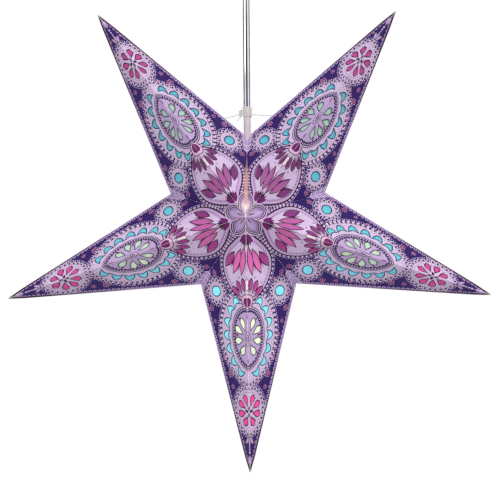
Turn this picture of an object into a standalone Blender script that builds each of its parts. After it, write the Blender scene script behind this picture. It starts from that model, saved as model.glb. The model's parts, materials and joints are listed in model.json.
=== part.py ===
# Paper star lantern: five folded paper points round a lamp on a chrome tube.
# The star's front looks along -Y, the ceiling face is at z = 0 and all hangs below it.
from math import acos, asin, atan2, ceil, cos, hypot, pi, radians, sin, sqrt

import bmesh
import bpy
from mathutils import Matrix, Vector

MM = 0.001

# Fits
CLEARANCE = 0.3 * MM

# Star
POINTS = 5
POINT_REACH = 315 * MM
NOTCH_REACH = 99 * MM
HALF_DEPTH = 95 * MM
CENTRE_DROP = 320 * MM
PAPER_THICKNESS = 0.4 * MM
RIDGE_CLOSING = radians(20)
VALLEY_RATIO_SHARE = 1.02
SEAM_GAPE = 2.2 * MM
TISSUE_THICKNESS = 0.15 * MM
TISSUE_RIDGE_INSET = 3 * MM
TISSUE_EDGE_INSET = 5 * MM

# Lamp tube
TUBE_RADIUS = 4.25 * MM
TUBE_WALL = 0.9 * MM
TUBE_NOTCH_CLEARANCE = 0.9 * MM
TUBE_TOP_ABOVE_CUP_FLOOR = 14 * MM
TUBE_COLLAR_RADIUS = 8 * MM
TUBE_COLLAR_HEIGHT = 6 * MM
TUBE_NUT_RADIUS = 8.2 * MM
TUBE_NUT_HEIGHT = 3.2 * MM

# Ceiling fitting
CUP_RADIUS = 44 * MM
CUP_DEPTH = 32 * MM
CUP_WALL = 1.2 * MM
CUP_EDGE_RADIUS = 9 * MM
PLATE_THICKNESS = 2 * MM
PLATE_INSET = 3 * MM
PLATE_SLOT_WIDTH = 5 * MM
PLATE_SLOT_LENGTH = 12 * MM
PLATE_SLOT_OFFSET = 26 * MM
PLATE_WIRE_HOLE_RADIUS = 6 * MM
PLATE_WIRE_HOLE_OFFSET = 25 * MM
EAR_WIDTH = 12 * MM
EAR_LENGTH = 12 * MM
CUP_SCREW_RADIUS = 1.75 * MM
CUP_SCREW_LENGTH = 9 * MM
CUP_SCREW_HEAD_RADIUS = 3.6 * MM
CUP_SCREW_HEAD_HEIGHT = 2.2 * MM
CUP_SCREW_DROP = 8 * MM
TERMINAL_LENGTH = 24 * MM
TERMINAL_WIDTH = 15 * MM
TERMINAL_HEIGHT = 11 * MM
TERMINAL_WAIST = 3 * MM
TERMINAL_BORE_RADIUS = 1.9 * MM
TERMINAL_SCREW_GAP = 3.3 * MM

# Flex
FLEX_RADIUS = 2.2 * MM
FLEX_BEND = 15 * MM
FLEX_POINT_SPACING = 9 * MM

# Lampholder
HOLDER_RADIUS = 20 * MM
HOLDER_WALL = 2.2 * MM
HOLDER_TOP_ABOVE_CENTRE = 76 * MM
HOLDER_CAP_HEIGHT = 20 * MM
HOLDER_NECK_RADIUS = 7.5 * MM
HOLDER_BODY_HEIGHT = 40 * MM
HOLDER_FLOOR = 4 * MM
HOLDER_RIB_HEIGHT = 4 * MM
HOLDER_RIB_OUT = 1.2 * MM
TUBE_GRIP = 8 * MM
THREAD_SHELL_WALL = 0.6 * MM
THREAD_SHELL_INSET = 4 * MM
THREAD_SHELL_FLANGE = 2 * MM
CONTACT_WIDTH = 6 * MM
CONTACT_THICKNESS = 0.8 * MM

# Bulb
BULB_RADIUS = 30 * MM
BULB_NECK_RADIUS = 13.5 * MM
BULB_GLASS_LENGTH = 80 * MM
BULB_GLASS_WALL = 1 * MM
BULB_CAP_RADIUS = 13 * MM
BULB_CAP_LENGTH = 25 * MM
BULB_THREAD_DEPTH = 0.7 * MM
BULB_THREADS = 4
BULB_CAP_CLEARANCE = 0.5 * MM
BULB_TIP_RADIUS = 5 * MM
BULB_SHOULDER = 2 * MM
BULB_SEAT_INSET = 2 * MM
STEM_RADIUS = 5 * MM
STEM_LENGTH = 38 * MM
STEM_HEAD_RADIUS = 3 * MM

# Twine
TWINE_RADIUS = 0.65 * MM
WRAP_TWINE_RADIUS = 0.5 * MM
WRAP_GAP = 0.45 * MM
WRAP_TURNS = 8
WRAP_TURN_POINTS = 8
WRAP_BOTTOM_ABOVE_CENTRE = 124 * MM
KNOT_TURNS = 4
KNOT_LAST_TURN_SHARE = 0.7
KNOT_TOP_ABOVE_CENTRE = 131.5 * MM
KNOT_TAIL = 7 * MM
TIE_ABOVE_CENTRE = 126.5 * MM
TIE_HOLE_RADIUS = 1.3 * MM
TIE_STOP_RADIUS = 1.9 * MM
TIE_REACH_INSIDE = 6.5 * MM
LEFT_TIE_SHARE = 0.152
RIGHT_TIE_SHARE = 0.169

# Facets
ROUND_SIDES = 24
SMALL_ROUND_SIDES = 16

half_sector = pi / POINTS
centre = Vector((0, 0, -CENTRE_DROP))

# Sizes of one facet: a triangle from the star's apex to a tip and a notch
ridge_length = hypot(POINT_REACH, HALF_DEPTH)
valley_length = hypot(NOTCH_REACH, HALF_DEPTH)
rim_length = sqrt(
    POINT_REACH**2 + NOTCH_REACH**2 - 2 * POINT_REACH * NOTCH_REACH * cos(half_sector)
)
apex_angle = acos(
    (ridge_length**2 + valley_length**2 - rim_length**2) / (2 * ridge_length * valley_length)
)
notch_along = valley_length * cos(apex_angle)
notch_across = valley_length * sin(apex_angle)
notch_2d = Vector((notch_along, notch_across))

# Half the angle between neighbouring facets at a ridge, a valley and a rim
ridge_tilt = acos(HALF_DEPTH / ridge_length)
valley_tilt = acos(HALF_DEPTH / valley_length)
ridge_half = acos(
    (cos(valley_tilt) - cos(apex_angle) * cos(ridge_tilt)) / (sin(apex_angle) * sin(ridge_tilt))
)
valley_half = pi - acos(
    (cos(ridge_tilt) - cos(apex_angle) * cos(valley_tilt)) / (sin(apex_angle) * sin(valley_tilt))
)
facet_normal = Vector((POINT_REACH, HALF_DEPTH, 0)).cross(
    Vector((NOTCH_REACH * cos(half_sector), HALF_DEPTH, NOTCH_REACH * sin(half_sector)))
)
rim_half = acos(abs(facet_normal.y) / facet_normal.length)

# The closest these angles come while the top seam opens
ridge_half_closed = ridge_half - RIDGE_CLOSING / 2
valley_half_closed = valley_half - RIDGE_CLOSING * VALLEY_RATIO_SHARE / 2


def inner_margin(half_angle):
    # keeps the inner corners of two sheets apart that fold towards each other
    return (CLEARANCE / 2 + PAPER_THICKNESS * cos(half_angle)) / sin(half_angle)


ridge_margin = inner_margin(ridge_half_closed)
rim_margin = inner_margin(rim_half)
valley_margin = CLEARANCE / 2 / sin(valley_half_closed) + CLEARANCE / 4


def clear_scene():
    for old in list(bpy.data.objects):
        bpy.data.objects.remove(old, do_unlink=True)


def material(name, color, roughness, metallic=0.0, transmission=0.0):
    made = bpy.data.materials.get(name)
    if made:
        return made
    made = bpy.data.materials.new(name)
    made.use_nodes = True
    shader = made.node_tree.nodes["Principled BSDF"]
    shader.inputs["Base Color"].default_value = (*color, 1)
    shader.inputs["Roughness"].default_value = roughness
    shader.inputs["Metallic"].default_value = metallic
    shader.inputs["Transmission Weight"].default_value = transmission
    return made


def place(name, mesh, look, location=(0, 0, 0), matrix=None):
    thing = bpy.data.objects.new(name, mesh)
    bpy.context.scene.collection.objects.link(thing)
    if not mesh.materials:
        mesh.materials.append(look)
    thing.matrix_basis = matrix if matrix else Matrix.Translation(location)
    return thing


def finish_mesh(bm, name, smooth_angle=None):
    bmesh.ops.recalc_face_normals(bm, faces=bm.faces)
    mesh = bpy.data.meshes.new(name)
    bm.to_mesh(mesh)
    bm.free()
    if smooth_angle:
        mesh.shade_smooth()
        mesh.set_sharp_from_angle(angle=smooth_angle)
    return mesh


def turned(name, profile, sides=ROUND_SIDES):
    # a closed outline of (radius, height) turned about Z; points on the axis are shared
    bm = bmesh.new()
    rings = []
    for radius, height in profile:
        if radius == 0:
            rings.append([bm.verts.new((0, 0, height))])
            continue
        ring = []
        for step in range(sides):
            turn = 2 * pi * step / sides
            ring.append(bm.verts.new((radius * cos(turn), radius * sin(turn), height)))
        rings.append(ring)
    for first, second in zip(rings, rings[1:] + rings[:1]):
        if len(first) == 1 and len(second) == 1:
            continue
        for step in range(sides):
            after = (step + 1) % sides
            if len(first) == 1:
                bm.faces.new((first[0], second[step], second[after]))
            elif len(second) == 1:
                bm.faces.new((first[step], second[0], first[after]))
            else:
                bm.faces.new((first[step], second[step], second[after], first[after]))
    return finish_mesh(bm, name, radians(35))


def cut(thing, cutter_mesh, matrix, label):
    cutter = bpy.data.objects.new(label, cutter_mesh)
    bpy.context.scene.collection.objects.link(cutter)
    cutter.matrix_world = matrix
    cutter.hide_render = True
    cutter.display_type = "WIRE"
    modifier = thing.modifiers.new(label, "BOOLEAN")
    modifier.operation = "DIFFERENCE"
    modifier.solver = "EXACT"
    modifier.object = cutter
    return cutter


def rod_mesh(name, radius, length, sides=SMALL_ROUND_SIDES):
    bm = bmesh.new()
    bmesh.ops.create_cone(
        bm, cap_ends=True, segments=sides, radius1=radius, radius2=radius, depth=length
    )
    return finish_mesh(bm, name, radians(35))


def box_mesh(name, size_x, size_y, size_z):
    bm = bmesh.new()
    bmesh.ops.create_cube(bm, size=1)
    bmesh.ops.scale(bm, vec=(size_x, size_y, size_z), verts=bm.verts)
    return finish_mesh(bm, name)


def along(direction, point):
    # a frame whose Z runs along the direction
    return Matrix.Translation(point) @ direction.to_track_quat("Z", "Y").to_matrix().to_4x4()


def tube_curve(name, points, radius, look, resolution=1):
    curve = bpy.data.curves.new(name, "CURVE")
    curve.dimensions = "3D"
    curve.bevel_depth = radius
    curve.bevel_resolution = resolution
    curve.use_fill_caps = True
    spline = curve.splines.new("POLY")
    spline.points.add(len(points) - 1)
    for slot, point in zip(spline.points, points):
        slot.co = (*point, 1)
    curve.materials.append(look)
    thing = bpy.data.objects.new(name, curve)
    bpy.context.scene.collection.objects.link(thing)
    return thing


# Cut-outs in the paper, each a unit outline one long and one wide round its middle
PETAL_SHARES = ((-0.5, 0), (-0.18, -0.45), (0.2, -0.45), (0.5, 0), (0.2, 0.45), (-0.18, 0.45))
DROP_SHARES = ((-0.5, 0), (0.2, -0.45), (0.5, 0), (0.2, 0.45))
SCALE_SHARES = ((-0.5, -0.3), (0, -0.1), (0.5, -0.3), (0.25, 0.45), (-0.25, 0.45))
OVAL_SHARES = ((-0.5, 0), (-0.27, -0.42), (0.27, -0.42), (0.5, 0), (0.27, 0.42), (-0.27, 0.42))

# The facet that the cut-outs are drawn on, as shares of its width at the notch
DRAWN_RIDGE_SHARE = 3.68
DRAWN_NOTCH_SHARE = 1.165

# Fans: the outline, its hub along and across, its distance from the hub, its length and
# width, all as shares of the facet's width at the notch, and the turns in degrees
FAN_SHARES = (
    (PETAL_SHARES, 0.22, 0, 0.42, 0.39, 0.095, (11,)),
    (PETAL_SHARES, 0.22, 0, 0.485, 0.38, 0.1, (25,)),
    (PETAL_SHARES, 0.22, 0, 0.56, 0.27, 0.095, (38.5,)),
    (DROP_SHARES, 1.235, 0, 0.28, 0.17, 0.075, (165, 143, 121)),
    (OVAL_SHARES, 1.185, 0.665, 0, 0.17, 0.125, (65,)),
    (DROP_SHARES, 1.7, 0, 0.21, 0.165, 0.085, (150, 110, 70, 30)),
    (DROP_SHARES, 2.74, 0, 0.168, 0.135, 0.08, (155, 112, 68, 25)),
)

# Scales on an oval: its middle along the ridge, its two half sizes, a scale's length and
# width as the same shares, and where they lie round it in degrees
SCALE_RING_SHARES = (1.7, 0.545, 0.445, 0.14, 0.125)
SCALE_TURNS = (146, 125, 104, 84, 64, 44, 22)


def drawn_window(unit_shares, length_share, width_share, turn, middle):
    # the drawn facet is laid on this one corner to corner, so no cut-out leaves it
    turned_by = Matrix.Rotation(turn, 2)
    outline = []
    for long_share, wide_share in unit_shares:
        drawn = middle + turned_by @ Vector((long_share * length_share, wide_share * width_share))
        ridge_share = (drawn.x - DRAWN_NOTCH_SHARE * drawn.y) / DRAWN_RIDGE_SHARE
        outline.append(Vector((ridge_length, 0)) * ridge_share + notch_2d * drawn.y)
    return outline


def window_outlines():
    outlines = []
    for unit_shares, along_share, across_share, far_share, length_share, width_share, turns in FAN_SHARES:
        for degrees in turns:
            turn = radians(degrees)
            middle = Vector((along_share, across_share)) + far_share * Vector((cos(turn), sin(turn)))
            outlines.append(drawn_window(unit_shares, length_share, width_share, turn, middle))
    along_share, long_share, wide_share, length_share, width_share = SCALE_RING_SHARES
    for degrees in SCALE_TURNS:
        turn = radians(degrees)
        middle = Vector((along_share + long_share * cos(turn), wide_share * sin(turn)))
        way = atan2(-wide_share * cos(turn), long_share * sin(turn))
        outlines.append(drawn_window(SCALE_SHARES, length_share, width_share, way, middle))
    return outlines


def inset_triangle(ridge_inset, rim_inset, apex_inset, notch_inset):
    # the facet's triangle with its edges moved inwards; the valley edge may taper
    def line(start, end, first_inset, last_inset):
        run = (end - start).normalized()
        side = Vector((-run.y, run.x))
        return start + side * first_inset, end + side * last_inset

    apex = Vector((0, 0))
    tip = Vector((ridge_length, 0))
    lines = (
        line(apex, tip, ridge_inset, ridge_inset),
        line(tip, notch_2d, rim_inset, rim_inset),
        line(notch_2d, apex, notch_inset, apex_inset),
    )
    corners = []
    for (a, b), (c, d) in zip(lines, lines[1:] + lines[:1]):
        u, v = b - a, d - c
        reach = (c - a).cross(v) / u.cross(v)
        corners.append(a + u * reach)
    return corners


def sheet_mesh(name, outlines, side, depth, thickness, start=Vector((0, 0))):
    # flat sheet with holes, its outer face depth below the facet's plane; side 1 or -1
    bm = bmesh.new()
    edges = []
    for outline in outlines:
        ring = []
        for point in outline:
            ring.append(
                bm.verts.new((point.x - start.x, side * (point.y - start.y), -depth))
            )
        for first, second in zip(ring, ring[1:] + ring[:1]):
            edges.append(bm.edges.new((first, second)))
    bmesh.ops.triangle_fill(bm, use_beauty=True, edges=edges, normal=(0, 0, 1))
    walls = bmesh.ops.extrude_face_region(bm, geom=list(bm.faces))
    moved = [part for part in walls["geom"] if isinstance(part, bmesh.types.BMVert)]
    bmesh.ops.translate(bm, vec=(0, 0, -thickness), verts=moved)
    return finish_mesh(bm, name)


def star_point(azimuth, reach, depth):
    return centre + Vector((reach * cos(azimuth), depth, reach * sin(azimuth)))


# Ray names with the azimuth of each ridge, counter-clockwise seen from the front
ray_azimuths = {
    "bottom": 3 * pi / 2,
    "low_right": 3 * pi / 2 + 2 * half_sector,
    "top_right": 3 * pi / 2 + 4 * half_sector,
    "top_left": 3 * pi / 2 + 6 * half_sector,
    "low_left": 3 * pi / 2 + 8 * half_sector,
}
tissue_depth = PAPER_THICKNESS + CLEARANCE


def facet_frame(azimuth, face, side):
    # x along the ridge, y across it, z out of the paper; face -1 front, 1 back
    apex = star_point(0, 0, face * HALF_DEPTH)
    tip = star_point(azimuth, POINT_REACH, 0)
    notch = star_point(azimuth + side * half_sector, NOTCH_REACH, 0)
    x_axis = (tip - apex).normalized()
    across = notch - apex
    across = (across - x_axis * across.dot(x_axis)).normalized()
    outward = x_axis.cross(across)
    if outward.y * face < 0:
        outward = -outward
    y_axis = outward.cross(x_axis)
    frame = Matrix((x_axis, y_axis, outward)).transposed().to_4x4()
    frame.translation = apex if face < 0 else notch
    return frame, 1 if y_axis.dot(across) > 0 else -1


def rim_point(share, side):
    # where a tie leaves the rim of a top point
    notch = star_point(pi / 2, NOTCH_REACH, 0)
    tip = star_point(pi / 2 + side * half_sector, POINT_REACH, 0)
    return notch.lerp(tip, share)


left_rim_point = rim_point(LEFT_TIE_SHARE, 1)
right_rim_point = rim_point(RIGHT_TIE_SHARE, -1)
wrap_radius = TUBE_RADIUS + CLEARANCE + WRAP_TWINE_RADIUS
wrap_pitch = 2 * WRAP_TWINE_RADIUS + WRAP_GAP
knot_radius = 2 * WRAP_TWINE_RADIUS + WRAP_GAP
knot_reach = wrap_radius + WRAP_TWINE_RADIUS + CLEARANCE + knot_radius + WRAP_TWINE_RADIUS
left_tie_end = centre + Vector(
    (-(knot_reach + knot_radius + WRAP_TWINE_RADIUS + CLEARANCE), 0, TIE_ABOVE_CENTRE)
)
right_tie_end = centre + Vector(
    (wrap_radius + WRAP_TWINE_RADIUS + CLEARANCE, 0, TIE_ABOVE_CENTRE)
)


def build_star():
    paper = material("paper_print", (0.42, 0.30, 0.62), 0.75)
    tissue = material("tissue_backing", (0.75, 0.25, 0.62), 0.8)
    windows = window_outlines()
    plain = inset_triangle(ridge_margin, rim_margin, valley_margin, valley_margin)
    gaping = inset_triangle(ridge_margin, rim_margin, SEAM_GAPE, valley_margin)
    backing = inset_triangle(
        TISSUE_RIDGE_INSET, TISSUE_EDGE_INSET, TISSUE_EDGE_INSET, TISSUE_EDGE_INSET
    )
    meshes = {}
    tube_cutter = rod_mesh(
        "tube_notch_cutter", TUBE_RADIUS + TUBE_NOTCH_CLEARANCE, NOTCH_REACH / 2
    )
    tie_cutter = rod_mesh("tie_hole_cutter", TIE_HOLE_RADIUS, 4 * TIE_REACH_INSIDE)
    for ray, azimuth in ray_azimuths.items():
        for face, face_name in ((-1, "front"), (1, "back")):
            for side, side_name in ((1, "ccw"), (-1, "cw")):
                frame, hand = facet_frame(azimuth, face, side)
                start = Vector((0, 0)) if face < 0 else notch_2d
                at_seam = (ray, side) in (("top_right", 1), ("top_left", -1))
                key = (face, hand, at_seam)
                if key not in meshes:
                    outer = gaping if at_seam else plain
                    label = f"facet_{face_name}_{side_name}"
                    meshes[key] = (
                        sheet_mesh(label, [outer] + windows, hand, 0, PAPER_THICKNESS, start),
                        sheet_mesh(
                            label + "_tissue", [backing], hand, tissue_depth,
                            TISSUE_THICKNESS, start,
                        ),
                    )
                sheet, lining = meshes[key]
                name = f"paper_{ray}_{face_name}_{side_name}"
                panel = place(name, sheet, paper, matrix=frame)
                place(name.replace("paper", "tissue"), lining, tissue, matrix=frame)
                if at_seam:
                    spot = star_point(pi / 2, NOTCH_REACH, 0)
                    cut(panel, tube_cutter, Matrix.Translation(spot), name + "_tube_cut")
                    rim = right_rim_point if side > 0 else left_rim_point
                    end = right_tie_end if side > 0 else left_tie_end
                    cut(panel, tie_cutter, along(rim - end, rim), name + "_tie_cut")


def tie(name, rim, end, look):
    # straight twine through the hole in the rim, with a stopper knot inside the point
    run = (rim - end).normalized()
    stop = rim + run * TIE_REACH_INSIDE
    bm = bmesh.new()
    bmesh.ops.create_uvsphere(
        bm, u_segments=SMALL_ROUND_SIDES // 2, v_segments=SMALL_ROUND_SIDES // 3,
        radius=TIE_STOP_RADIUS,
    )
    ball = place(name + "_stop", finish_mesh(bm, name + "_stop", radians(60)), look)
    ball.matrix_world = along(run, stop)
    ball.hide_render = True
    ball.display_type = "WIRE"
    strand = rod_mesh(name, TWINE_RADIUS, (stop - end).length, SMALL_ROUND_SIDES // 2)
    thing = place(name, strand, look, matrix=along(run, (stop + end) / 2))
    joined = thing.modifiers.new("stopper", "BOOLEAN")
    joined.operation = "UNION"
    joined.solver = "EXACT"
    joined.object = ball
    return thing


def least_gap(points, radius, apart):
    least = None
    for first in range(len(points)):
        for second in range(first + apart, len(points)):
            gap = (points[first] - points[second]).length - 2 * radius
            least = gap if least is None else min(least, gap)
    return round(least / MM, 2)


def build_ties():
    twine = material("twine", (0.86, 0.84, 0.80), 0.9)
    turns = []
    for step in range(WRAP_TURNS * WRAP_TURN_POINTS + 1):
        turn = 2 * pi * step / WRAP_TURN_POINTS
        height = WRAP_BOTTOM_ABOVE_CENTRE + wrap_pitch * step / WRAP_TURN_POINTS
        turns.append(
            centre + Vector((wrap_radius * cos(turn), wrap_radius * sin(turn), height))
        )
    print(
        "least gap of the twine wrap to itself, mm:",
        least_gap(turns, WRAP_TWINE_RADIUS, WRAP_TURN_POINTS // 2),
    )
    tube_curve("twine_wrap", turns, WRAP_TWINE_RADIUS, twine)

    # The knot: one end up through the core, wound down round it, and out as a tail
    middle = centre + Vector((-knot_reach, 0, KNOT_TOP_ABOVE_CENTRE))
    height = KNOT_TURNS * wrap_pitch
    route = []
    for step in range(6):
        route.append(middle + Vector((0, 0, (step / 5 - 1) * (height + KNOT_TAIL / 2))))
    arch = knot_radius / 2
    for step in range(1, 4):
        turn = pi * step / 4
        route.append(middle + Vector((arch * (1 - cos(turn)), 0, arch * sin(turn))))
    for step in range(round((KNOT_TURNS + KNOT_LAST_TURN_SHARE) * WRAP_TURN_POINTS) + 1):
        turn = 2 * pi * step / WRAP_TURN_POINTS
        drop = wrap_pitch * step / WRAP_TURN_POINTS
        route.append(
            middle + Vector((knot_radius * cos(turn), knot_radius * sin(turn), -drop))
        )
    last = route[-1]
    for step in range(1, 4):
        out = KNOT_TAIL * step / 3
        route.append(last + Vector((-out / 2, -out / 3, -out * sin(radians(60)))))
    print(
        "least gap of the knot to itself, mm:",
        least_gap(route, WRAP_TWINE_RADIUS, WRAP_TURN_POINTS // 2),
    )
    tube_curve("twine_knot", route, WRAP_TWINE_RADIUS, twine)
    tie("tie_twine_left", left_rim_point, left_tie_end, twine)
    tie("tie_twine_right", right_rim_point, right_tie_end, twine)


# Heights of the ceiling fitting and the lamp, from the ceiling down
cup_floor_top = -CUP_DEPTH + CUP_WALL
tube_top = cup_floor_top + TUBE_TOP_ABOVE_CUP_FLOOR
holder_top = centre.z + HOLDER_TOP_ABOVE_CENTRE
holder_body_top = holder_top - HOLDER_CAP_HEIGHT
holder_body_bottom = holder_body_top - HOLDER_BODY_HEIGHT
tube_bottom = holder_top - TUBE_GRIP
bulb_seat = holder_body_bottom + BULB_SEAT_INSET
cap_top = bulb_seat + BULB_CAP_LENGTH
plate_radius = CUP_RADIUS - CUP_WALL - PLATE_INSET
cup_inside = CUP_RADIUS - CUP_WALL - CLEARANCE
ear_out = sqrt(cup_inside**2 - (EAR_WIDTH / 2) ** 2) - PLATE_THICKNESS / 2


def build_ceiling():
    chrome = material("chrome_tube", (0.78, 0.78, 0.80), 0.12, 1.0)
    steel = material("steel_bracket", (0.62, 0.62, 0.64), 0.4, 1.0)
    plastic = material("terminal_plastic", (0.88, 0.87, 0.83), 0.5)
    bore = TUBE_RADIUS + CLEARANCE

    # Cup: an open bowl with a rounded lower edge and a hole for the tube
    arc = []
    for step in range(5):
        arc.append(pi / 2 * step / 4)
    bend_r = CUP_RADIUS - CUP_EDGE_RADIUS
    bend_z = -CUP_DEPTH + CUP_EDGE_RADIUS
    outer = [(bend_r + CUP_EDGE_RADIUS * sin(t), bend_z - CUP_EDGE_RADIUS * cos(t)) for t in arc]
    inner_edge = CUP_EDGE_RADIUS - CUP_WALL
    inner = [(bend_r + inner_edge * sin(t), bend_z - inner_edge * cos(t)) for t in arc]
    profile = [(bore, -CUP_DEPTH)] + outer + [(CUP_RADIUS, -CLEARANCE)]
    profile += [(CUP_RADIUS - CUP_WALL, -CLEARANCE)] + inner[::-1] + [(bore, cup_floor_top)]
    cup = place("ceiling_cup", turned("ceiling_cup", profile, 2 * SMALL_ROUND_SIDES), chrome)
    screw_hole = rod_mesh("cup_screw_hole", CUP_SCREW_RADIUS + CLEARANCE, 3 * CUP_RADIUS)
    sideways = Matrix.Translation((0, 0, -CUP_SCREW_DROP)) @ Matrix.Rotation(pi / 2, 4, "Y")
    cut(cup, screw_hole, sideways, "cup_screw_cutter")

    # Plate: a disc with two ears bent down for the cup's screws, two slots and a wire hole
    half_ear = EAR_WIDTH / 2
    leave = asin(half_ear / plate_radius)
    bent = bmesh.new()
    rows = []
    for side in (1, -1):
        turn = 0 if side > 0 else pi
        for step in range(ROUND_SIDES // 2 + 1):
            around = turn + leave + (pi - 2 * leave) * step / (ROUND_SIDES // 2)
            rows.append((plate_radius * cos(around), plate_radius * sin(around)))
        rows.append((-side * (ear_out - PLATE_THICKNESS / 2), side * half_ear))
        rows.append((-side * (ear_out - PLATE_THICKNESS / 2), -side * half_ear))
    sheet = bent.faces.new([bent.verts.new((x, y, -PLATE_THICKNESS)) for x, y in rows])
    ear_feet = []
    for side in (1, -1):
        inner = [v for v in sheet.verts if abs(v.co.x - side * (ear_out - PLATE_THICKNESS / 2)) < CLEARANCE]
        inner.sort(key=lambda v: v.co.y * side)
        outer = [
            bent.verts.new((side * (ear_out + PLATE_THICKNESS / 2), v.co.y, v.co.z)) for v in inner
        ]
        ear_feet.append(bent.faces.new((inner[0], outer[0], outer[1], inner[1])))
    up = bmesh.ops.extrude_face_region(bent, geom=list(bent.faces))
    raised = [part for part in up["geom"] if isinstance(part, bmesh.types.BMVert)]
    bmesh.ops.translate(bent, vec=(0, 0, PLATE_THICKNESS), verts=raised)
    for foot in ear_feet:
        down = bmesh.ops.extrude_face_region(bent, geom=[foot])
        lowered = [part for part in down["geom"] if isinstance(part, bmesh.types.BMVert)]
        bmesh.ops.translate(bent, vec=(0, 0, PLATE_THICKNESS - EAR_LENGTH), verts=lowered)
    bmesh.ops.delete(bent, geom=ear_feet, context="FACES_ONLY")
    plate = place("ceiling_plate", finish_mesh(bent, "ceiling_plate"), steel)
    for side in (1, -1):
        slot_spot = (0, side * PLATE_SLOT_OFFSET, -PLATE_THICKNESS / 2)
        slot = box_mesh("plate_slot", PLATE_SLOT_LENGTH, PLATE_SLOT_WIDTH, 3 * PLATE_THICKNESS)
        cut(plate, slot, Matrix.Translation(slot_spot), f"plate_slot_{side}")
    hole = rod_mesh("plate_wire_hole", PLATE_WIRE_HOLE_RADIUS, 3 * PLATE_THICKNESS)
    spot = (PLATE_WIRE_HOLE_OFFSET, 0, -PLATE_THICKNESS / 2)
    cut(plate, hole, Matrix.Translation(spot), "plate_wire_cutter")
    pilot = rod_mesh("ear_pilot_hole", CUP_SCREW_RADIUS + CLEARANCE, 3 * CUP_RADIUS)
    cut(plate, pilot, sideways, "ear_pilot_cutter")

    # Two screws hold the cup to the ears
    head_inner = CUP_RADIUS + CLEARANCE
    screw_tip = head_inner - CUP_SCREW_LENGTH
    screw_profile = [
        (0, screw_tip),
        (CUP_SCREW_RADIUS, screw_tip),
        (CUP_SCREW_RADIUS, head_inner),
        (CUP_SCREW_HEAD_RADIUS, head_inner),
        (CUP_SCREW_HEAD_RADIUS, head_inner + CUP_SCREW_HEAD_HEIGHT / 2),
        (CUP_SCREW_HEAD_RADIUS / 2, head_inner + CUP_SCREW_HEAD_HEIGHT),
        (0, head_inner + CUP_SCREW_HEAD_HEIGHT),
    ]
    one = turned("cup_screw", screw_profile, SMALL_ROUND_SIDES)
    for side, label in ((1, "right"), (-1, "left")):
        turn = Matrix.Translation((0, 0, -CUP_SCREW_DROP)) @ Matrix.Rotation(side * pi / 2, 4, "Y")
        place(f"cup_screw_{label}", one, chrome, matrix=turn)

    # Terminal block under the plate: two barrels with a waist between
    barrel = (TERMINAL_LENGTH - TERMINAL_WAIST) / 2
    block = bmesh.new()
    top = -PLATE_THICKNESS - CLEARANCE
    block_end = screw_tip - TERMINAL_SCREW_GAP
    block_spot = Vector((TERMINAL_LENGTH / 2 - block_end, 0, top - TERMINAL_HEIGHT / 2))
    outline = [
        (-TERMINAL_LENGTH / 2, -TERMINAL_WIDTH / 2),
        (-TERMINAL_WAIST / 2, -TERMINAL_WIDTH / 2),
        (-TERMINAL_WAIST / 2, -TERMINAL_WAIST),
        (TERMINAL_WAIST / 2, -TERMINAL_WAIST),
        (TERMINAL_WAIST / 2, -TERMINAL_WIDTH / 2),
        (TERMINAL_LENGTH / 2, -TERMINAL_WIDTH / 2),
        (TERMINAL_LENGTH / 2, TERMINAL_WIDTH / 2),
        (TERMINAL_WAIST / 2, TERMINAL_WIDTH / 2),
        (TERMINAL_WAIST / 2, TERMINAL_WAIST),
        (-TERMINAL_WAIST / 2, TERMINAL_WAIST),
        (-TERMINAL_WAIST / 2, TERMINAL_WIDTH / 2),
        (-TERMINAL_LENGTH / 2, TERMINAL_WIDTH / 2),
    ]
    face = block.faces.new([block.verts.new((x, y, -TERMINAL_HEIGHT / 2)) for x, y in outline])
    raised = bmesh.ops.extrude_face_region(block, geom=[face])
    tops = [part for part in raised["geom"] if isinstance(part, bmesh.types.BMVert)]
    bmesh.ops.translate(block, vec=(0, 0, TERMINAL_HEIGHT), verts=tops)
    terminal = place(
        "terminal_block", finish_mesh(block, "terminal_block"), plastic, block_spot
    )
    wire_bore = rod_mesh("terminal_bore", TERMINAL_BORE_RADIUS, 2 * TERMINAL_WIDTH)
    for side in (1, -1):
        spot = block_spot + Vector((side * (TERMINAL_WAIST + barrel) / 2, 0, 0))
        turn = Matrix.Translation(spot) @ Matrix.Rotation(pi / 2, 4, "X")
        cut(terminal, wire_bore, turn, f"terminal_bore_{side}")
    return block_spot


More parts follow.
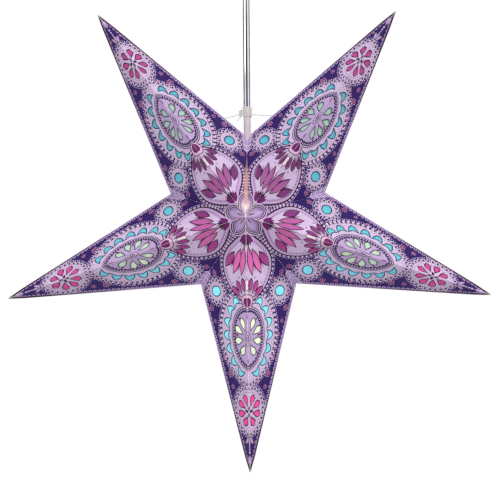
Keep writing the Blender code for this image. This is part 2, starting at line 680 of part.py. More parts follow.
def build_lamp(block_spot):
    chrome = material("chrome_tube", (0.78, 0.78, 0.80), 0.12, 1.0)
    steel = material("steel_bracket", (0.62, 0.62, 0.64), 0.4, 1.0)
    brass = material("brass_parts", (0.80, 0.62, 0.30), 0.35, 1.0)
    white = material("holder_plastic", (0.90, 0.89, 0.86), 0.35)
    sheath = material("flex_sheath", (0.85, 0.84, 0.80), 0.5)
    bore = TUBE_RADIUS - TUBE_WALL

    tube_profile = [
        (TUBE_RADIUS, tube_bottom), (TUBE_RADIUS, tube_top), (bore, tube_top), (bore, tube_bottom)
    ]
    place("lamp_tube", turned("lamp_tube", tube_profile), chrome)
    fit = TUBE_RADIUS + CLEARANCE
    collar_top = -CUP_DEPTH - CLEARANCE
    collar_low = collar_top - TUBE_COLLAR_HEIGHT
    collar_profile = [
        (fit, collar_low), (fit + TUBE_WALL, collar_low),
        (TUBE_COLLAR_RADIUS, collar_top - TUBE_COLLAR_HEIGHT / 2), (TUBE_COLLAR_RADIUS, collar_top),
        (fit, collar_top),
    ]
    place("tube_collar", turned("tube_collar", collar_profile), chrome)
    nut_middle = Vector((0, 0, cup_floor_top + CLEARANCE + TUBE_NUT_HEIGHT / 2))
    hexagon = rod_mesh("tube_nut", TUBE_NUT_RADIUS, TUBE_NUT_HEIGHT, 6)
    nut = place("tube_nut", hexagon, steel, nut_middle)
    nut_bore = rod_mesh("tube_nut_bore", fit, 3 * TUBE_NUT_HEIGHT, ROUND_SIDES)
    cut(nut, nut_bore, Matrix.Translation(nut_middle), "tube_nut_cutter")

    # Holder cap: a dome with a neck that grips the tube's end
    edge = HOLDER_RADIUS - HOLDER_WALL
    dome = []
    for step in range(6):
        turn = pi / 2 * step / 5
        rise = (HOLDER_CAP_HEIGHT - TUBE_GRIP) * sin(turn)
        out = HOLDER_NECK_RADIUS + (HOLDER_RADIUS - HOLDER_NECK_RADIUS) * cos(turn)
        dome.append((out, holder_body_top + CLEARANCE + rise * (1 - CLEARANCE / HOLDER_CAP_HEIGHT)))
    inside = []
    for step in range(5, -1, -1):
        turn = pi / 2 * step / 5
        rise = (HOLDER_CAP_HEIGHT - TUBE_GRIP - HOLDER_WALL) * sin(turn)
        out = bore + (edge - bore) * cos(turn)
        inside.append((out, holder_body_top + CLEARANCE + rise))
    cap_profile = dome + [
        (HOLDER_NECK_RADIUS, holder_top), (fit, holder_top),
        (fit, tube_bottom - CLEARANCE), (bore, tube_bottom - CLEARANCE),
    ] + inside
    place("holder_cap", turned("holder_cap", cap_profile), white)

    # Holder body: a cup with a floor under the cap, open below, with a rib round it
    low, high = holder_body_bottom, holder_body_top
    rib = low + HOLDER_BODY_HEIGHT / 3
    wire_way = FLEX_RADIUS + CLEARANCE
    body_profile = [
        (edge, low), (HOLDER_RADIUS, low), (HOLDER_RADIUS, rib),
        (HOLDER_RADIUS + HOLDER_RIB_OUT, rib + HOLDER_RIB_OUT),
        (HOLDER_RADIUS + HOLDER_RIB_OUT, rib + HOLDER_RIB_HEIGHT),
        (HOLDER_RADIUS, rib + HOLDER_RIB_HEIGHT + HOLDER_RIB_OUT),
        (HOLDER_RADIUS, high), (wire_way, high), (wire_way, high - HOLDER_FLOOR),
        (edge, high - HOLDER_FLOOR),
    ]
    place("holder_body", turned("holder_body", body_profile), white)

    # Threaded shell and centre contact
    cap_fit = BULB_CAP_RADIUS + BULB_CAP_CLEARANCE
    shell_low = low + THREAD_SHELL_INSET
    shell_top = high - HOLDER_FLOOR - CLEARANCE
    shell_out = cap_fit + THREAD_SHELL_WALL
    shell_profile = [
        (cap_fit, shell_low), (shell_out, shell_low), (shell_out, shell_top - THREAD_SHELL_FLANGE),
        (edge - CLEARANCE, shell_top - THREAD_SHELL_FLANGE), (edge - CLEARANCE, shell_top),
        (cap_fit, shell_top),
    ]
    place("thread_shell", turned("thread_shell", shell_profile), brass)
    tongue_top = high - HOLDER_FLOOR - CLEARANCE
    tongue_low = cap_top + CLEARANCE
    half_long = sqrt(cap_fit**2 - (CONTACT_WIDTH / 2) ** 2) - CLEARANCE
    foot = half_long * 2 / 3
    side_view = [
        (-half_long, tongue_top), (-CONTACT_THICKNESS, tongue_top),
        (foot / 2, tongue_low + CONTACT_THICKNESS), (foot, tongue_low + CONTACT_THICKNESS),
        (foot, tongue_low), (foot / 2 - CONTACT_THICKNESS, tongue_low),
        (-2 * CONTACT_THICKNESS, tongue_top - CONTACT_THICKNESS),
        (-half_long, tongue_top - CONTACT_THICKNESS),
    ]
    tongue = bmesh.new()
    flat = tongue.faces.new([tongue.verts.new((x, -CONTACT_WIDTH / 2, z)) for x, z in side_view])
    wide = bmesh.ops.extrude_face_region(tongue, geom=[flat])
    moved = [part for part in wide["geom"] if isinstance(part, bmesh.types.BMVert)]
    bmesh.ops.translate(tongue, vec=(0, CONTACT_WIDTH, 0), verts=moved)
    place("centre_contact", finish_mesh(tongue, "centre_contact"), brass)

    # Flex: from the terminal block, round in the cup and down the tube to the holder
    start = block_spot + Vector((0, TERMINAL_WIDTH / 2 + CLEARANCE, 0))
    bend = Vector((start.x / 3, FLEX_BEND, start.z))
    entry = Vector((0, 0, tube_top + CUP_WALL))
    end = Vector((0, 0, high - HOLDER_FLOOR / 2))
    down = Vector((0, 0, -FLEX_BEND))
    lead = start + Vector((0, 2 * FLEX_RADIUS, 0))
    knots = [
        (lead, Vector((0, FLEX_BEND, 0))),
        (bend, Vector((FLEX_BEND, -FLEX_BEND / 4, 0))),
        (entry, down),
        (end, down),
    ]
    route = [start]
    for (p0, m0), (p1, m1) in zip(knots, knots[1:]):
        steps = max(6, ceil((p1 - p0).length / FLEX_POINT_SPACING))
        for step in range(steps):
            t = step / steps
            route.append(
                p0 * (2 * t**3 - 3 * t**2 + 1) + m0 * (t**3 - 2 * t**2 + t)
                + p1 * (3 * t**2 - 2 * t**3) + m1 * (t**3 - t**2)
            )
    route.append(end)
    tube_curve("lamp_flex", route, FLEX_RADIUS, sheath, 2)


def build_bulb():
    brass = material("bulb_metal", (0.75, 0.74, 0.70), 0.3, 1.0)
    glass = material("frosted_glass", (0.98, 0.95, 0.88), 0.45, 0.0, 0.6)
    clear = material("clear_glass", (0.95, 0.95, 0.95), 0.1, 0.0, 0.8)

    # Screw cap with rounded thread ribs, a shoulder and a centre tip
    pitch = (BULB_CAP_LENGTH - BULB_TIP_RADIUS) / (BULB_THREADS + 1)
    profile = [(0, bulb_seat), (BULB_CAP_RADIUS, bulb_seat)]
    for rib in range(BULB_THREADS):
        height = bulb_seat + pitch * (rib + 1)
        profile.append((BULB_CAP_RADIUS - BULB_THREAD_DEPTH, height - pitch / 2))
        profile.append((BULB_CAP_RADIUS, height))
    shoulder = cap_top - BULB_TIP_RADIUS * 2 / 3
    profile.append((BULB_CAP_RADIUS - BULB_THREAD_DEPTH, shoulder - BULB_SHOULDER))
    profile.append((BULB_TIP_RADIUS, shoulder + BULB_SHOULDER / 2))
    profile.append((BULB_TIP_RADIUS, cap_top - BULB_SHOULDER / 2))
    profile += [(BULB_TIP_RADIUS / 2, cap_top), (0, cap_top)]
    place("bulb_cap", turned("bulb_cap", profile), brass)

    # Glass: a pear-shaped shell, open at the neck
    top = bulb_seat - CLEARANCE
    round_middle = top - BULB_GLASS_LENGTH + BULB_RADIUS
    lean = radians(50)
    join_r = BULB_RADIUS * cos(lean)
    join_z = round_middle + BULB_RADIUS * sin(lean)

    def pear(shrink):
        outline = [(BULB_NECK_RADIUS - shrink, top)]
        for step in range(1, 5):
            t = step / 5
            blend = t * t * (3 - 2 * t)
            radius = BULB_NECK_RADIUS + (join_r - BULB_NECK_RADIUS) * (0.35 * t + 0.65 * blend)
            outline.append((radius - shrink, top + (join_z - top) * t))
        for step in range(10):
            turn = lean - (lean + pi / 2) * step / 9
            radius = (BULB_RADIUS - shrink) * cos(turn) if step < 9 else 0
            outline.append((radius, round_middle + (BULB_RADIUS - shrink) * sin(turn)))
        return outline

    glass_profile = pear(0) + pear(BULB_GLASS_WALL)[::-1]
    place("bulb_glass", turned("bulb_glass", glass_profile[::-1]), glass)

    stem_top = bulb_seat - CLEARANCE
    stem_low = stem_top - STEM_LENGTH
    stem_profile = [
        (0, stem_low), (STEM_HEAD_RADIUS, stem_low + STEM_HEAD_RADIUS / 2),
        (STEM_HEAD_RADIUS, stem_low + 2 * STEM_HEAD_RADIUS), (STEM_RADIUS / 2, stem_low + STEM_LENGTH / 3),
        (STEM_RADIUS / 2, stem_top - STEM_RADIUS), (STEM_RADIUS, stem_top), (0, stem_top),
    ]
    place("bulb_stem", turned("bulb_stem", stem_profile, SMALL_ROUND_SIDES), clear)


def build_all():
    clear_scene()
    build_star()
    build_ties()
    block_spot = build_ceiling()
    build_lamp(block_spot)
    build_bulb()


build_all()
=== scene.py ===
# Paper star lantern: printed sheets, tissue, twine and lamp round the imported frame
import json
from math import atan2, cos, dist, hypot, pi, radians, sin, sqrt

import bmesh
import bpy
from mathutils import Matrix, Vector, noise
from mathutils.geometry import delaunay_2d_cdt


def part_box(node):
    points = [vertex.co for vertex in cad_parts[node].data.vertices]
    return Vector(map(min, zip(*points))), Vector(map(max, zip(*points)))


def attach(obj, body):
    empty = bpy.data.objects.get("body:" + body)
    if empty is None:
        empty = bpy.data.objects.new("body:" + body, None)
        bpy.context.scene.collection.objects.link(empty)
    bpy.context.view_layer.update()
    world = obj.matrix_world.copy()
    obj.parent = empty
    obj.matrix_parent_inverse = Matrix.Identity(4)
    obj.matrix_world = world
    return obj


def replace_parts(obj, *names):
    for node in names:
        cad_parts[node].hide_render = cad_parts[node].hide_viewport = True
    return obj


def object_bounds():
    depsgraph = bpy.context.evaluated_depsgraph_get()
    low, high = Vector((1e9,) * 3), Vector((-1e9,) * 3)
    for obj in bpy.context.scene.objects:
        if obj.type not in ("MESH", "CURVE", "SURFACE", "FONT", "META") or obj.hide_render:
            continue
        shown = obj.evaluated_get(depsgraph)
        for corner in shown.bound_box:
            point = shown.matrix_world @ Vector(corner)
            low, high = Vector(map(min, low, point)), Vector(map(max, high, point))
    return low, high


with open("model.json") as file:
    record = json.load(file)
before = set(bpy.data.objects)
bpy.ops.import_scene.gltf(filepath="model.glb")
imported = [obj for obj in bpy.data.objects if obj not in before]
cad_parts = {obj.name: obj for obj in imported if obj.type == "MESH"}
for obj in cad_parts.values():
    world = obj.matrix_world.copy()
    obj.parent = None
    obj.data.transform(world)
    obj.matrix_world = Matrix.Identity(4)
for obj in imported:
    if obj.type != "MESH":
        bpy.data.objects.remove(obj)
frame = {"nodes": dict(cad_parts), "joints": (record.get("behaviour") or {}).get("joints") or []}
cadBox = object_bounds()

mm = 0.001
joints = {joint["name"]: joint for joint in frame["joints"]}
apex = Vector(joints["star_opening"]["pos_m"])   # where the front ridges meet
starCentre = Vector((0, 0, apex.z))
glassLow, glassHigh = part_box("bulb_glass")
lampSpot = Vector((0, 0, (glassLow.z * 3 + glassHigh.z) / 4))
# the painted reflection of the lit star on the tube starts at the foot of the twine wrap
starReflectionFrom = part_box("twine_wrap")[0].z


def sumOf(operation, reflected=False):
    def work(self, other):
        first, second = (other, self) if reflected else (self, other)
        return self.sum(operation, first, second)
    return work


class Flow:
    # a socket of a material: sums on it add Math nodes, and add() makes any other node
    def __init__(self, tree, socket=None):
        self.tree, self.socket = tree, socket

    def add(self, kind, settings=None, inputs=None, out=0):
        node = self.tree.nodes.new("ShaderNode" + kind)
        for name, value in (settings or {}).items():
            if name == "stops":
                ramp = node.color_ramp
                ramp.elements[0].position, ramp.elements[0].color = value[0]
                ramp.elements[1].position, ramp.elements[1].color = value[-1]
                for position, colour in value[1:-1]:
                    ramp.elements.new(position).color = colour
            else:
                setattr(node, name, value)
        for name, value in (inputs or {}).items():
            if isinstance(value, Flow):
                self.tree.links.new(value.socket, node.inputs[name])
            else:
                node.inputs[name].default_value = value
        return Flow(self.tree, node.outputs[out])

    def sum(self, operation, first, second, clamp=False):
        return self.add("Math", {"operation": operation, "use_clamp": clamp}, {0: first, 1: second})

    __add__, __radd__ = sumOf("ADD"), sumOf("ADD", True)
    __sub__, __rsub__ = sumOf("SUBTRACT"), sumOf("SUBTRACT", True)
    __mul__, __rmul__ = sumOf("MULTIPLY"), sumOf("MULTIPLY", True)
    __truediv__, __rtruediv__ = sumOf("DIVIDE"), sumOf("DIVIDE", True)

    def clamped(self):
        return self.sum("ADD", self, 0.0, True)

    def toward(self, other, share):
        # this colour mixed with another
        return self.add("Mix", {"data_type": "RGBA"}, {0: share, 6: self, 7: other}, 2)

    def scaled(self, factor):
        return self.add("VectorMath", {"operation": "SCALE"}, {0: self, "Scale": factor})

    def tinted(self, colour):
        return self.add("VectorMath", {"operation": "MULTIPLY"}, {0: self, 1: colour})

    def painted(self, attribute):
        # the colour that the mesh carries under this name
        settings = {"attribute_type": "GEOMETRY", "attribute_name": attribute}
        return self.add("Attribute", settings, out="Color")

    def part(self, axis):
        # one number of a vector
        return self.add("SeparateXYZ", {}, {0: self}, axis)

    def stretched(self, *scale):
        return self.add("Mapping", {}, {0: self, "Scale": scale})

    def ramped(self, *stops):
        # the colour at this number on a ramp
        return self.add("ValToRGB", {"stops": stops}, {0: self})

    def toned(self, darker, lighter, low=0.2):
        # between two screen colours
        return self.ramped((low, linear(*darker)), (1 - low, linear(*lighter)))

    def away(self, spot):
        return self.add("VectorMath", {"operation": "DISTANCE"}, {0: self, 1: tuple(spot)}, "Value")

    def grain(self, scale, detail=2.0, rough=0.5):
        settings = {"Vector": self, "Scale": scale, "Detail": detail, "Roughness": rough}
        return self.add("TexNoise", {}, settings, "Fac")

    def bump(self, height, strength, distance):
        settings = {"Height": height, "Strength": strength, "Distance": distance}
        return self.add("Bump", {}, settings, "Normal")


def linear(red, green, blue):
    # a screen colour, 0 to 255, as the light it stands for
    parts = []
    for part in (red, green, blue):
        share = part / 255
        parts.append(share / 12.92 if share <= 0.04045 else ((share + 0.055) / 1.055) ** 2.4)
    return (*parts, 1.0)


def makeMaterial(name, build):
    # build gives the shader's inputs from the object coordinate
    made = bpy.data.materials.new(name)
    made.use_nodes = True
    shader = made.node_tree.nodes["Principled BSDF"]
    spot = Flow(made.node_tree).add("TexCoord", out="Object")
    for socket, value in build(spot).items():
        if isinstance(value, Flow):
            made.node_tree.links.new(value.socket, shader.inputs[socket])
        else:
            shader.inputs[socket].default_value = value
    return made


# Materials
lampGlow = {"reach": 118 * mm, "paper": 0.20, "tissue": 1.8, "shade": 0.48, "warm": (1.45, 0.82, 0.66),
            "haloRise": 11 * mm, "haloReach": 15 * mm, "halo": linear(188, 180, 96)}
paperLook = {"uvScale": 0.25, "worn": 0.0022, "bare": linear(222, 208, 226), "relief": 1.2 * mm}
glassLook = ((0.0, linear(238, 160, 112)), (0.035, linear(255, 208, 176)),   # from the neck down
             (0.07, linear(255, 246, 238)), (1.0, linear(255, 248, 240)))
chromeTones = ((212, 213, 217), (238, 239, 242))
fineRelief = 0.1 * mm


def glowAt(spot):
    # how strongly the lamp inside lights a sheet from behind, less so above it, where the holder stands
    far = spot.away(lampSpot)
    near = far / lampGlow["reach"]
    above = (spot.part(2) - lampSpot.z) / far
    return (1.0 - lampGlow["shade"] * (1.0 + above)) / (1.0 + near * near)


def paperPrint(spot):
    ink = spot.painted("ink")
    across = spot.add("UVMap", {"uv_map": "sheet"}).part(1)
    fibre = spot.grain(1400, 3, 0.6)
    mottle = spot.grain(55, 4, 0.6)
    speck = spot.grain(420, 2, 0.6)
    patchy = ink.scaled(0.66 + 0.22 * mottle + 0.16 * fibre + 0.32 * speck)
    wear = (1.0 - across / paperLook["worn"]).clamped() * (spot.grain(160, 3, 0.7) * 2.4 - 0.6).clamped()
    colour = patchy.toward(paperLook["bare"], wear * 0.6)
    wrinkle = spot.grain(14, 2, 0.5) * 4.0 + fibre * 0.25
    glow = colour.scaled(glowAt(spot) * lampGlow["paper"])
    # the sheets shine where the lamp's light grazes the open seam
    brightest = apex + Vector((0, lampGlow["haloRise"], lampGlow["haloRise"]))
    halo = (1.0 - spot.away(brightest) / lampGlow["haloReach"]).clamped()
    glow = glow.toward(lampGlow["halo"], halo * halo)
    return {"Base Color": colour, "Roughness": 0.56 + 0.22 * mottle, "Emission Color": glow,
            "Emission Strength": 1.0, "Specular IOR Level": 0.2,
            "Normal": spot.bump(wrinkle, 0.35, paperLook["relief"])}


def tissueSheet(spot):
    dye = spot.painted("dye")
    crinkle = spot.grain(260, 4, 0.65)
    streak = spot.grain(38, 3, 0.55)
    colour = dye.scaled(0.78 + 0.42 * crinkle)
    bright = glowAt(spot) * lampGlow["tissue"] * (0.72 + 0.56 * streak)
    glow = colour.scaled(bright).tinted(lampGlow["warm"])
    return {"Base Color": colour, "Roughness": 0.55 + 0.25 * crinkle, "Emission Color": glow,
            "Emission Strength": 1.0, "Normal": spot.bump(crinkle, 0.5, paperLook["relief"])}


def cottonTwine(spot):
    fuzz = spot.grain(2600, 3, 0.7)
    patch = spot.grain(240, 2, 0.5)
    colour = (0.55 * fuzz + 0.45 * patch).toned((224, 215, 208), (255, 252, 248), 0.25)
    return {"Base Color": colour, "Roughness": 0.82 + 0.12 * fuzz, "Sheen Weight": 0.3,
            "Normal": spot.bump(fuzz, 0.6, 2 * fineRelief)}


def tubeChrome(spot):
    # mirror bright, and from the twine down a painted pinkish-white reflection of the lit paper star, with
    # the metal there rougher and less metallic
    below = ((starReflectionFrom + mm - spot.part(2)) / mm).clamped()
    drawn = spot.stretched(1.0, 1.0, 0.04).grain(900, 3, 0.6)
    smear = spot.grain(32, 4, 0.6)
    # painted reflection: below the twine the tube turns pinkish white, as if mirroring the lit star
    colour = smear.toned(*chromeTones).toward(linear(228, 212, 216), below * (0.7 + 0.3 * smear))
    rough = 0.02 + 0.02 * smear + 0.02 * drawn + 0.5 * below
    return {"Base Color": colour, "Metallic": 1.0 - 0.75 * below, "Roughness": rough,
            "Normal": spot.bump(drawn, 0.02, fineRelief)}


def chromedSteel(spot):
    drawn = spot.stretched(1.0, 1.0, 0.04).grain(900, 3, 0.6)
    smear = spot.grain(32, 4, 0.6)
    return {"Base Color": smear.toned(*chromeTones), "Metallic": 1.0,
            "Normal": spot.bump(drawn, 0.05, fineRelief), "Roughness": 0.05 + 0.06 * smear + 0.03 * drawn}


def brushedSteel(spot):
    drawn = spot.stretched(0.05, 1.0, 1.0).grain(1500, 3, 0.6)
    dull = spot.grain(60, 4, 0.6)
    colour = drawn.toned((168, 170, 174), (205, 206, 208))
    return {"Base Color": colour, "Metallic": 0.7, "Roughness": 0.36 + 0.2 * dull,
            "Normal": spot.bump(drawn, 0.25, fineRelief)}


def pressedMetal(darker, lighter, patch, rough, wear, pits, depth):
    def build(spot):
        dull = spot.grain(patch, 4, 0.6)
        return {"Base Color": dull.toned(darker, lighter), "Metallic": 1.0,
                "Roughness": rough + wear * dull, "Normal": spot.bump(spot.grain(pits), depth, fineRelief)}
    return build


def mouldedPlastic(darker, lighter, rough):
    def build(spot):
        orange = spot.grain(700, 2, 0.5)
        cloud = spot.grain(24, 3, 0.5)
        return {"Base Color": cloud.toned(darker, lighter),
                "Roughness": rough + 0.12 * cloud, "Normal": spot.bump(orange, 0.12, 2 * fineRelief)}
    return build


def frostedGlass(spot):
    # lit from inside, warm at the neck and white where the light comes from
    haze = spot.grain(45, 3, 0.5)
    down = ((glassHigh.z - spot.part(2)) / (glassHigh.z - glassLow.z)).clamped()
    lit = down.ramped(*glassLook)
    glow = lit.scaled(0.7 + 0.3 * haze + 0.8 * down)
    return {"Base Color": lit, "Roughness": 0.32 + 0.14 * haze, "Emission Color": glow,
            "Emission Strength": 0.9, "Normal": spot.bump(spot.grain(1600), 0.08, fineRelief)}


def clearGlass(spot):
    wave = spot.grain(80, 2, 0.5)
    return {"Base Color": (0.95, 0.96, 0.96, 1.0), "Roughness": 0.04 + 0.06 * wave,
            "Transmission Weight": 0.9, "Normal": spot.bump(wave, 0.1, 4 * fineRelief)}


recipes = {
    "paper_print": paperPrint, "tissue_backing": tissueSheet, "twine": cottonTwine,
    "chrome_tube": chromedSteel, "steel_bracket": brushedSteel,
    "brass_parts": pressedMetal((188, 150, 82), (226, 194, 120), 90, 0.25, 0.25, 1200, 0.15),
    "bulb_metal": pressedMetal((178, 176, 168), (222, 220, 212), 120, 0.22, 0.2, 900, 0.12),
    "holder_plastic": mouldedPlastic((214, 200, 182), (228, 216, 200), 0.30),
    "terminal_plastic": mouldedPlastic((222, 224, 220), (238, 240, 238), 0.38),
    "flex_sheath": mouldedPlastic((216, 214, 210), (230, 228, 224), 0.46),
    "frosted_glass": frostedGlass, "clear_glass": clearGlass, "tube_shine": tubeChrome,
}
looks = {name: makeMaterial(name + "_look", build) for name, build in recipes.items()}
print("materials:", len(looks))


# The sheet's print: closed outlines on one flat facet, x along its ridge, 1 from the ridge to the notch
tipSpot, notchSpot = (3.68, 0), (1.165, 1.0)
middles = {"apex": (0, 0), "lotus": (0.22, 0), "fan": (1.235, 0), "mandala": (1.70, 0), "ear": (1.185, 0.665),
           "rose": (2.74, 0), "point": (3.07, 0)}
earTurn = 65
fans = (
    # shape, the middle that it turns round, distance, length, width, turns in degrees, tissue
    ("petal", "lotus", 0.42, 0.39, 0.095, (11,), "pink"),
    ("petal", "lotus", 0.485, 0.38, 0.10, (25,), "pink"),
    ("petal", "lotus", 0.56, 0.27, 0.095, (38.5,), "magenta"),
    ("drop", "fan", 0.28, 0.17, 0.075, (165, 143, 121), "magenta"),
    ("round", "ear", 0, 0.17, 0.125, (earTurn,), "turquoise"),
    ("drop", "mandala", 0.21, 0.165, 0.085, (150, 110, 70, 30), "mint"),
    ("drop", "rose", 0.168, 0.135, 0.08, (155, 112, 68, 25), "cerise"),
)
moonRing = {"long": 0.545, "wide": 0.445, "size": (0.14, 0.125), "turns": (146, 125, 104, 84, 64, 44, 22)}
flowers = (
    # along the ridge, across, radius
    (0.93, 0.70, 0.044), (0.985, 0.555, 0.030), (1.45, 0.775, 0.044), (1.62, 0.70, 0.030),
    (2.10, 0.51, 0.034), (2.30, 0.395, 0.050), (2.47, 0.34, 0.034), (0.46, 0.345, 0.026),
    (2.36, 0.20, 0.034), (1.355, 0.46, 0.030), (3.03, 0.205, 0.030), (2.34, 0.065, 0.030),
    (1.26, 0.885, 0.032), (3.21, 0.12, 0.024), (1.80, 0.63, 0.026), (1.97, 0.58, 0.022),
)
windows = []   # outline and tissue colour
layers = []    # outline and ink, later ones on top


def moved(points, turn, place=(0, 0)):
    c, s = cos(turn), sin(turn)
    return [(place[0] + x * c - y * s, place[1] + x * s + y * c) for x, y in points]


def onRing(middle, long, wide, turn):
    return middle[0] + long * cos(turn), middle[1] + wide * sin(turn)


def around(points, middle, far, turn):
    # a shape set off from a middle and turned with the way there
    return moved(points, turn, onRing(middle, far, far, turn))


def oval(x, y, halfLong, halfWide, turn=0.0, sides=40):
    steps = [2 * pi * k / sides for k in range(sides)]
    return moved([(halfLong * cos(a), halfWide * sin(a)) for a in steps], turn, (x, y))


def dot(x, y, radius, sides=8):
    return oval(x, y, radius, radius, 0.0, sides)


def mirroredHalf(half):
    return half + [(x, -y) for x, y in half[-2:0:-1]]


def petal(length, width, sides=7, lean=1.0, blunt=0.85):
    steps = [k / sides for k in range(sides + 1)]
    return mirroredHalf([(length * (t - 0.5), width / 2 * sin(pi * t ** lean) ** blunt) for t in steps])


def drop(length, width):
    # pointed at the left, round at the right
    return petal(length, width, 7, 1.6, 0.8)


def halfMoon(length, width, sides=8):
    steps = [k / sides for k in range(sides + 1)]
    upper = [(length * (t - 0.5), width * (0.86 * sin(pi * t) ** 0.7 - 0.32)) for t in steps]
    lower = [(length * (t - 0.5), width * (0.26 * sin(pi * t) - 0.32)) for t in steps]
    return upper[::-1] + lower[1:-1]


def pairsOf(loop):
    # each member with the next, and the last with the first
    return zip(loop, loop[1:] + loop[:1])


def doubleArea(points):
    # above 0 where the inside lies on the left
    return sum(a[0] * b[1] - b[0] * a[1] for a, b in pairsOf(points))


def grown(points, distance):
    # every corner moves out along the mean of its edges' normals
    way = 1 if doubleArea(points) > 0 else -1
    out = []
    for k, (bx, by) in enumerate(points):
        ax, ay = points[k - 1]
        cx, cy = points[(k + 1) % len(points)]
        n, m = hypot(by - ay, bx - ax) or 1, hypot(cy - by, cx - bx) or 1
        nx, ny = (by - ay) / n, (ax - bx) / n
        vx, vy = nx + (cy - by) / m, ny + (bx - cx) / m
        v = hypot(vx, vy) or 1
        reach = way * distance / max(0.5, (vx * nx + vy * ny) / v)
        out.append((bx + vx / v * reach, by + vy / v * reach))
    return out


def evenly(points, spacing, shut=True):
    # spots a fixed step apart along an outline, with the direction there
    loop = points + points[:1] if shut else points
    total = sum(dist(a, b) for a, b in zip(loop, loop[1:]))
    count = max(3, round(total / spacing))
    out, run, aim = [], 0.0, total / count / 2
    for a, b in zip(loop, loop[1:]):
        size = dist(a, b)
        while aim <= run + size and size > 0 and len(out) < count:
            t = (aim - run) / size
            way = atan2(b[1] - a[1], b[0] - a[0])
            out.append((a[0] + (b[0] - a[0]) * t, a[1] + (b[1] - a[1]) * t, way))
            aim += total / count
        run += size
    return out


def waved(points, offset, height, spacing):
    # an outline that swings out and in round a grown copy of another, four points a wave
    spots = evenly(grown(points, offset), spacing / 4)
    spots = spots[:len(spots) // 4 * 4]
    swings = [height * sin(pi * k / 2) for k in range(len(spots))]
    return [(x + s * sin(way), y - s * cos(way)) for (x, y, way), s in zip(spots, swings)]


def lay(outline, ink):
    layers.append((outline, ink))


def line(outline, offset, width, ink, inside):
    lay(grown(outline, offset), ink)
    lay(grown(outline, offset - width), inside)


def beads(outline, offset, spacing, radius, ink, sides=6):
    for x, y, _ in evenly(grown(outline, offset), spacing):
        lay(dot(x, y, radius, sides), ink)


def cutWindows():
    shapes = {"petal": petal, "drop": drop, "round": lambda long, wide: oval(0, 0, long / 2, wide / 2, 0, 18)}
    for shape, middle, far, length, width, turns, dye in fans:
        for turn in turns:
            outline = around(shapes[shape](length, width), middles[middle], far, radians(turn))
            windows.append((outline, dye))
    long, wide = moonRing["long"], moonRing["wide"]
    for turn in moonRing["turns"]:
        a = radians(turn)
        place = onRing(middles["mandala"], long, wide, a)
        way = atan2(-wide * cos(a), long * sin(a))
        windows.append((moved(halfMoon(*moonRing["size"]), way, place), "turquoise"))


def drawFlower(x, y, radius):
    for grow, ink in ((1.0, "rosePale"), (0.84, "bloom")):
        for k in range(5):
            a = 2 * pi * k / 5 + 0.3
            far, long, wide = radius * 0.62, radius * 0.46 * grow, radius * 0.40 * grow
            lay(oval(*onRing((x, y), far, far, a), long, wide, a, 8), ink)
    lay(dot(x, y, radius * 0.36), "plum")
    lay(dot(x, y, radius * 0.17, 6), "rosePale")


def drawMedallion(outline):
    lace = 0.074   # one scallop
    beads(outline, 0.042, lace, 0.036, "paleLilac", 12)
    beads(outline, 0.044, lace, 0.0185, "plum", 9)
    lay(grown(outline, 0.024), "plum")
    lay(grown(outline, 0.018), "paleLilac")
    beads(outline, 0.094, lace / 2, 0.0095, "paleLilac")


def drawRim():
    way = atan2(notchSpot[1] - tipSpot[1], notchSpot[0] - tipSpot[0])
    into = (-sin(way), cos(way))
    for x, y, _ in evenly([tipSpot, notchSpot], 0.064, False):   # scallops
        for deep, radius, sides, ink in ((0.030, 0.027, 10, "lilac"), (0.032, 0.012, 8, "plum")):
            lay(dot(x + into[0] * deep, y + into[1] * deep, radius, sides), ink)
    inner = [(x + into[0] * 0.018, y + into[1] * 0.018) for x, y in (notchSpot, tipSpot)]
    lay([tipSpot, notchSpot] + inner, "mauve")


def drawEdge():
    # a dark line along the outer part of the rim
    tip = tipSpot[0]
    x, y = tip + (notchSpot[0] - tip) * 0.62, notchSpot[1] * 0.62
    lay([(tip + 0.01, 0), (x + 0.01, y), (x, y - 0.012), (tip - 0.10, 0)], "plum")


def drawMandala():
    middle = middles["mandala"]
    outer = oval(*middle, 0.615, 0.535, 0, 60)
    drawMedallion(outer)
    beads(outer, -0.016, 0.042, 0.008, "plum")
    ring = oval(*middle, 0.455, 0.355, 0, 52)
    line(ring, 0, 0.012, "plum", "paleLilac")
    line(ring, -0.024, 0.009, "plum", "indigo")
    beads(ring, -0.047, 0.040, 0.0115, "paleLilac")
    for long, wide, ink in ((0.385, 0.292, "plum"), (0.372, 0.279, "lilac")):
        lay(waved(oval(*middle, long, wide, 0, 44), 0, 0.009, 0.06), ink)
    for k in range(8):
        a = 2 * pi * (k + 1) / 8
        lay(moved(petal(0.10, 0.03, 5), a, onRing(middle, 0.315, 0.245, a)), "maroon")
    heart = moved(petal(0.20, 0.10), 0, middle)
    lay(grown(heart, 0.012), "plum")
    lay(heart, "paleLilac")
    lay(moved(petal(0.15, 0.06), 0, middle), "indigo")
    for step in (-0.035, 0, 0.035):
        lay(dot(middle[0] + step, 0, 0.011), "paleLilac")


def drawEar():
    ear = oval(*middles["ear"], 0.128, 0.112, radians(earTurn), 28)
    drawMedallion(ear)
    beads(ear, -0.014, 0.036, 0.006, "plum")


def drawTipRose():
    middle = middles["rose"]
    rose = oval(*middle, 0.295, 0.245, 0, 40)
    drawMedallion(rose)
    beads(rose, -0.014, 0.044, 0.009, "maroon")
    for k in range(8):
        a = 2 * pi * (k + 0.5) / 8 + pi / 8
        lay(dot(*onRing(middle, 0.225, 0.20, a), 0.010), "rose")
    for k in range(4):
        lay(around(petal(0.09, 0.042, 5), middle, 0.048, pi / 2 * k), "plum")
    lay(dot(*middle, 0.018), "paleLilac")


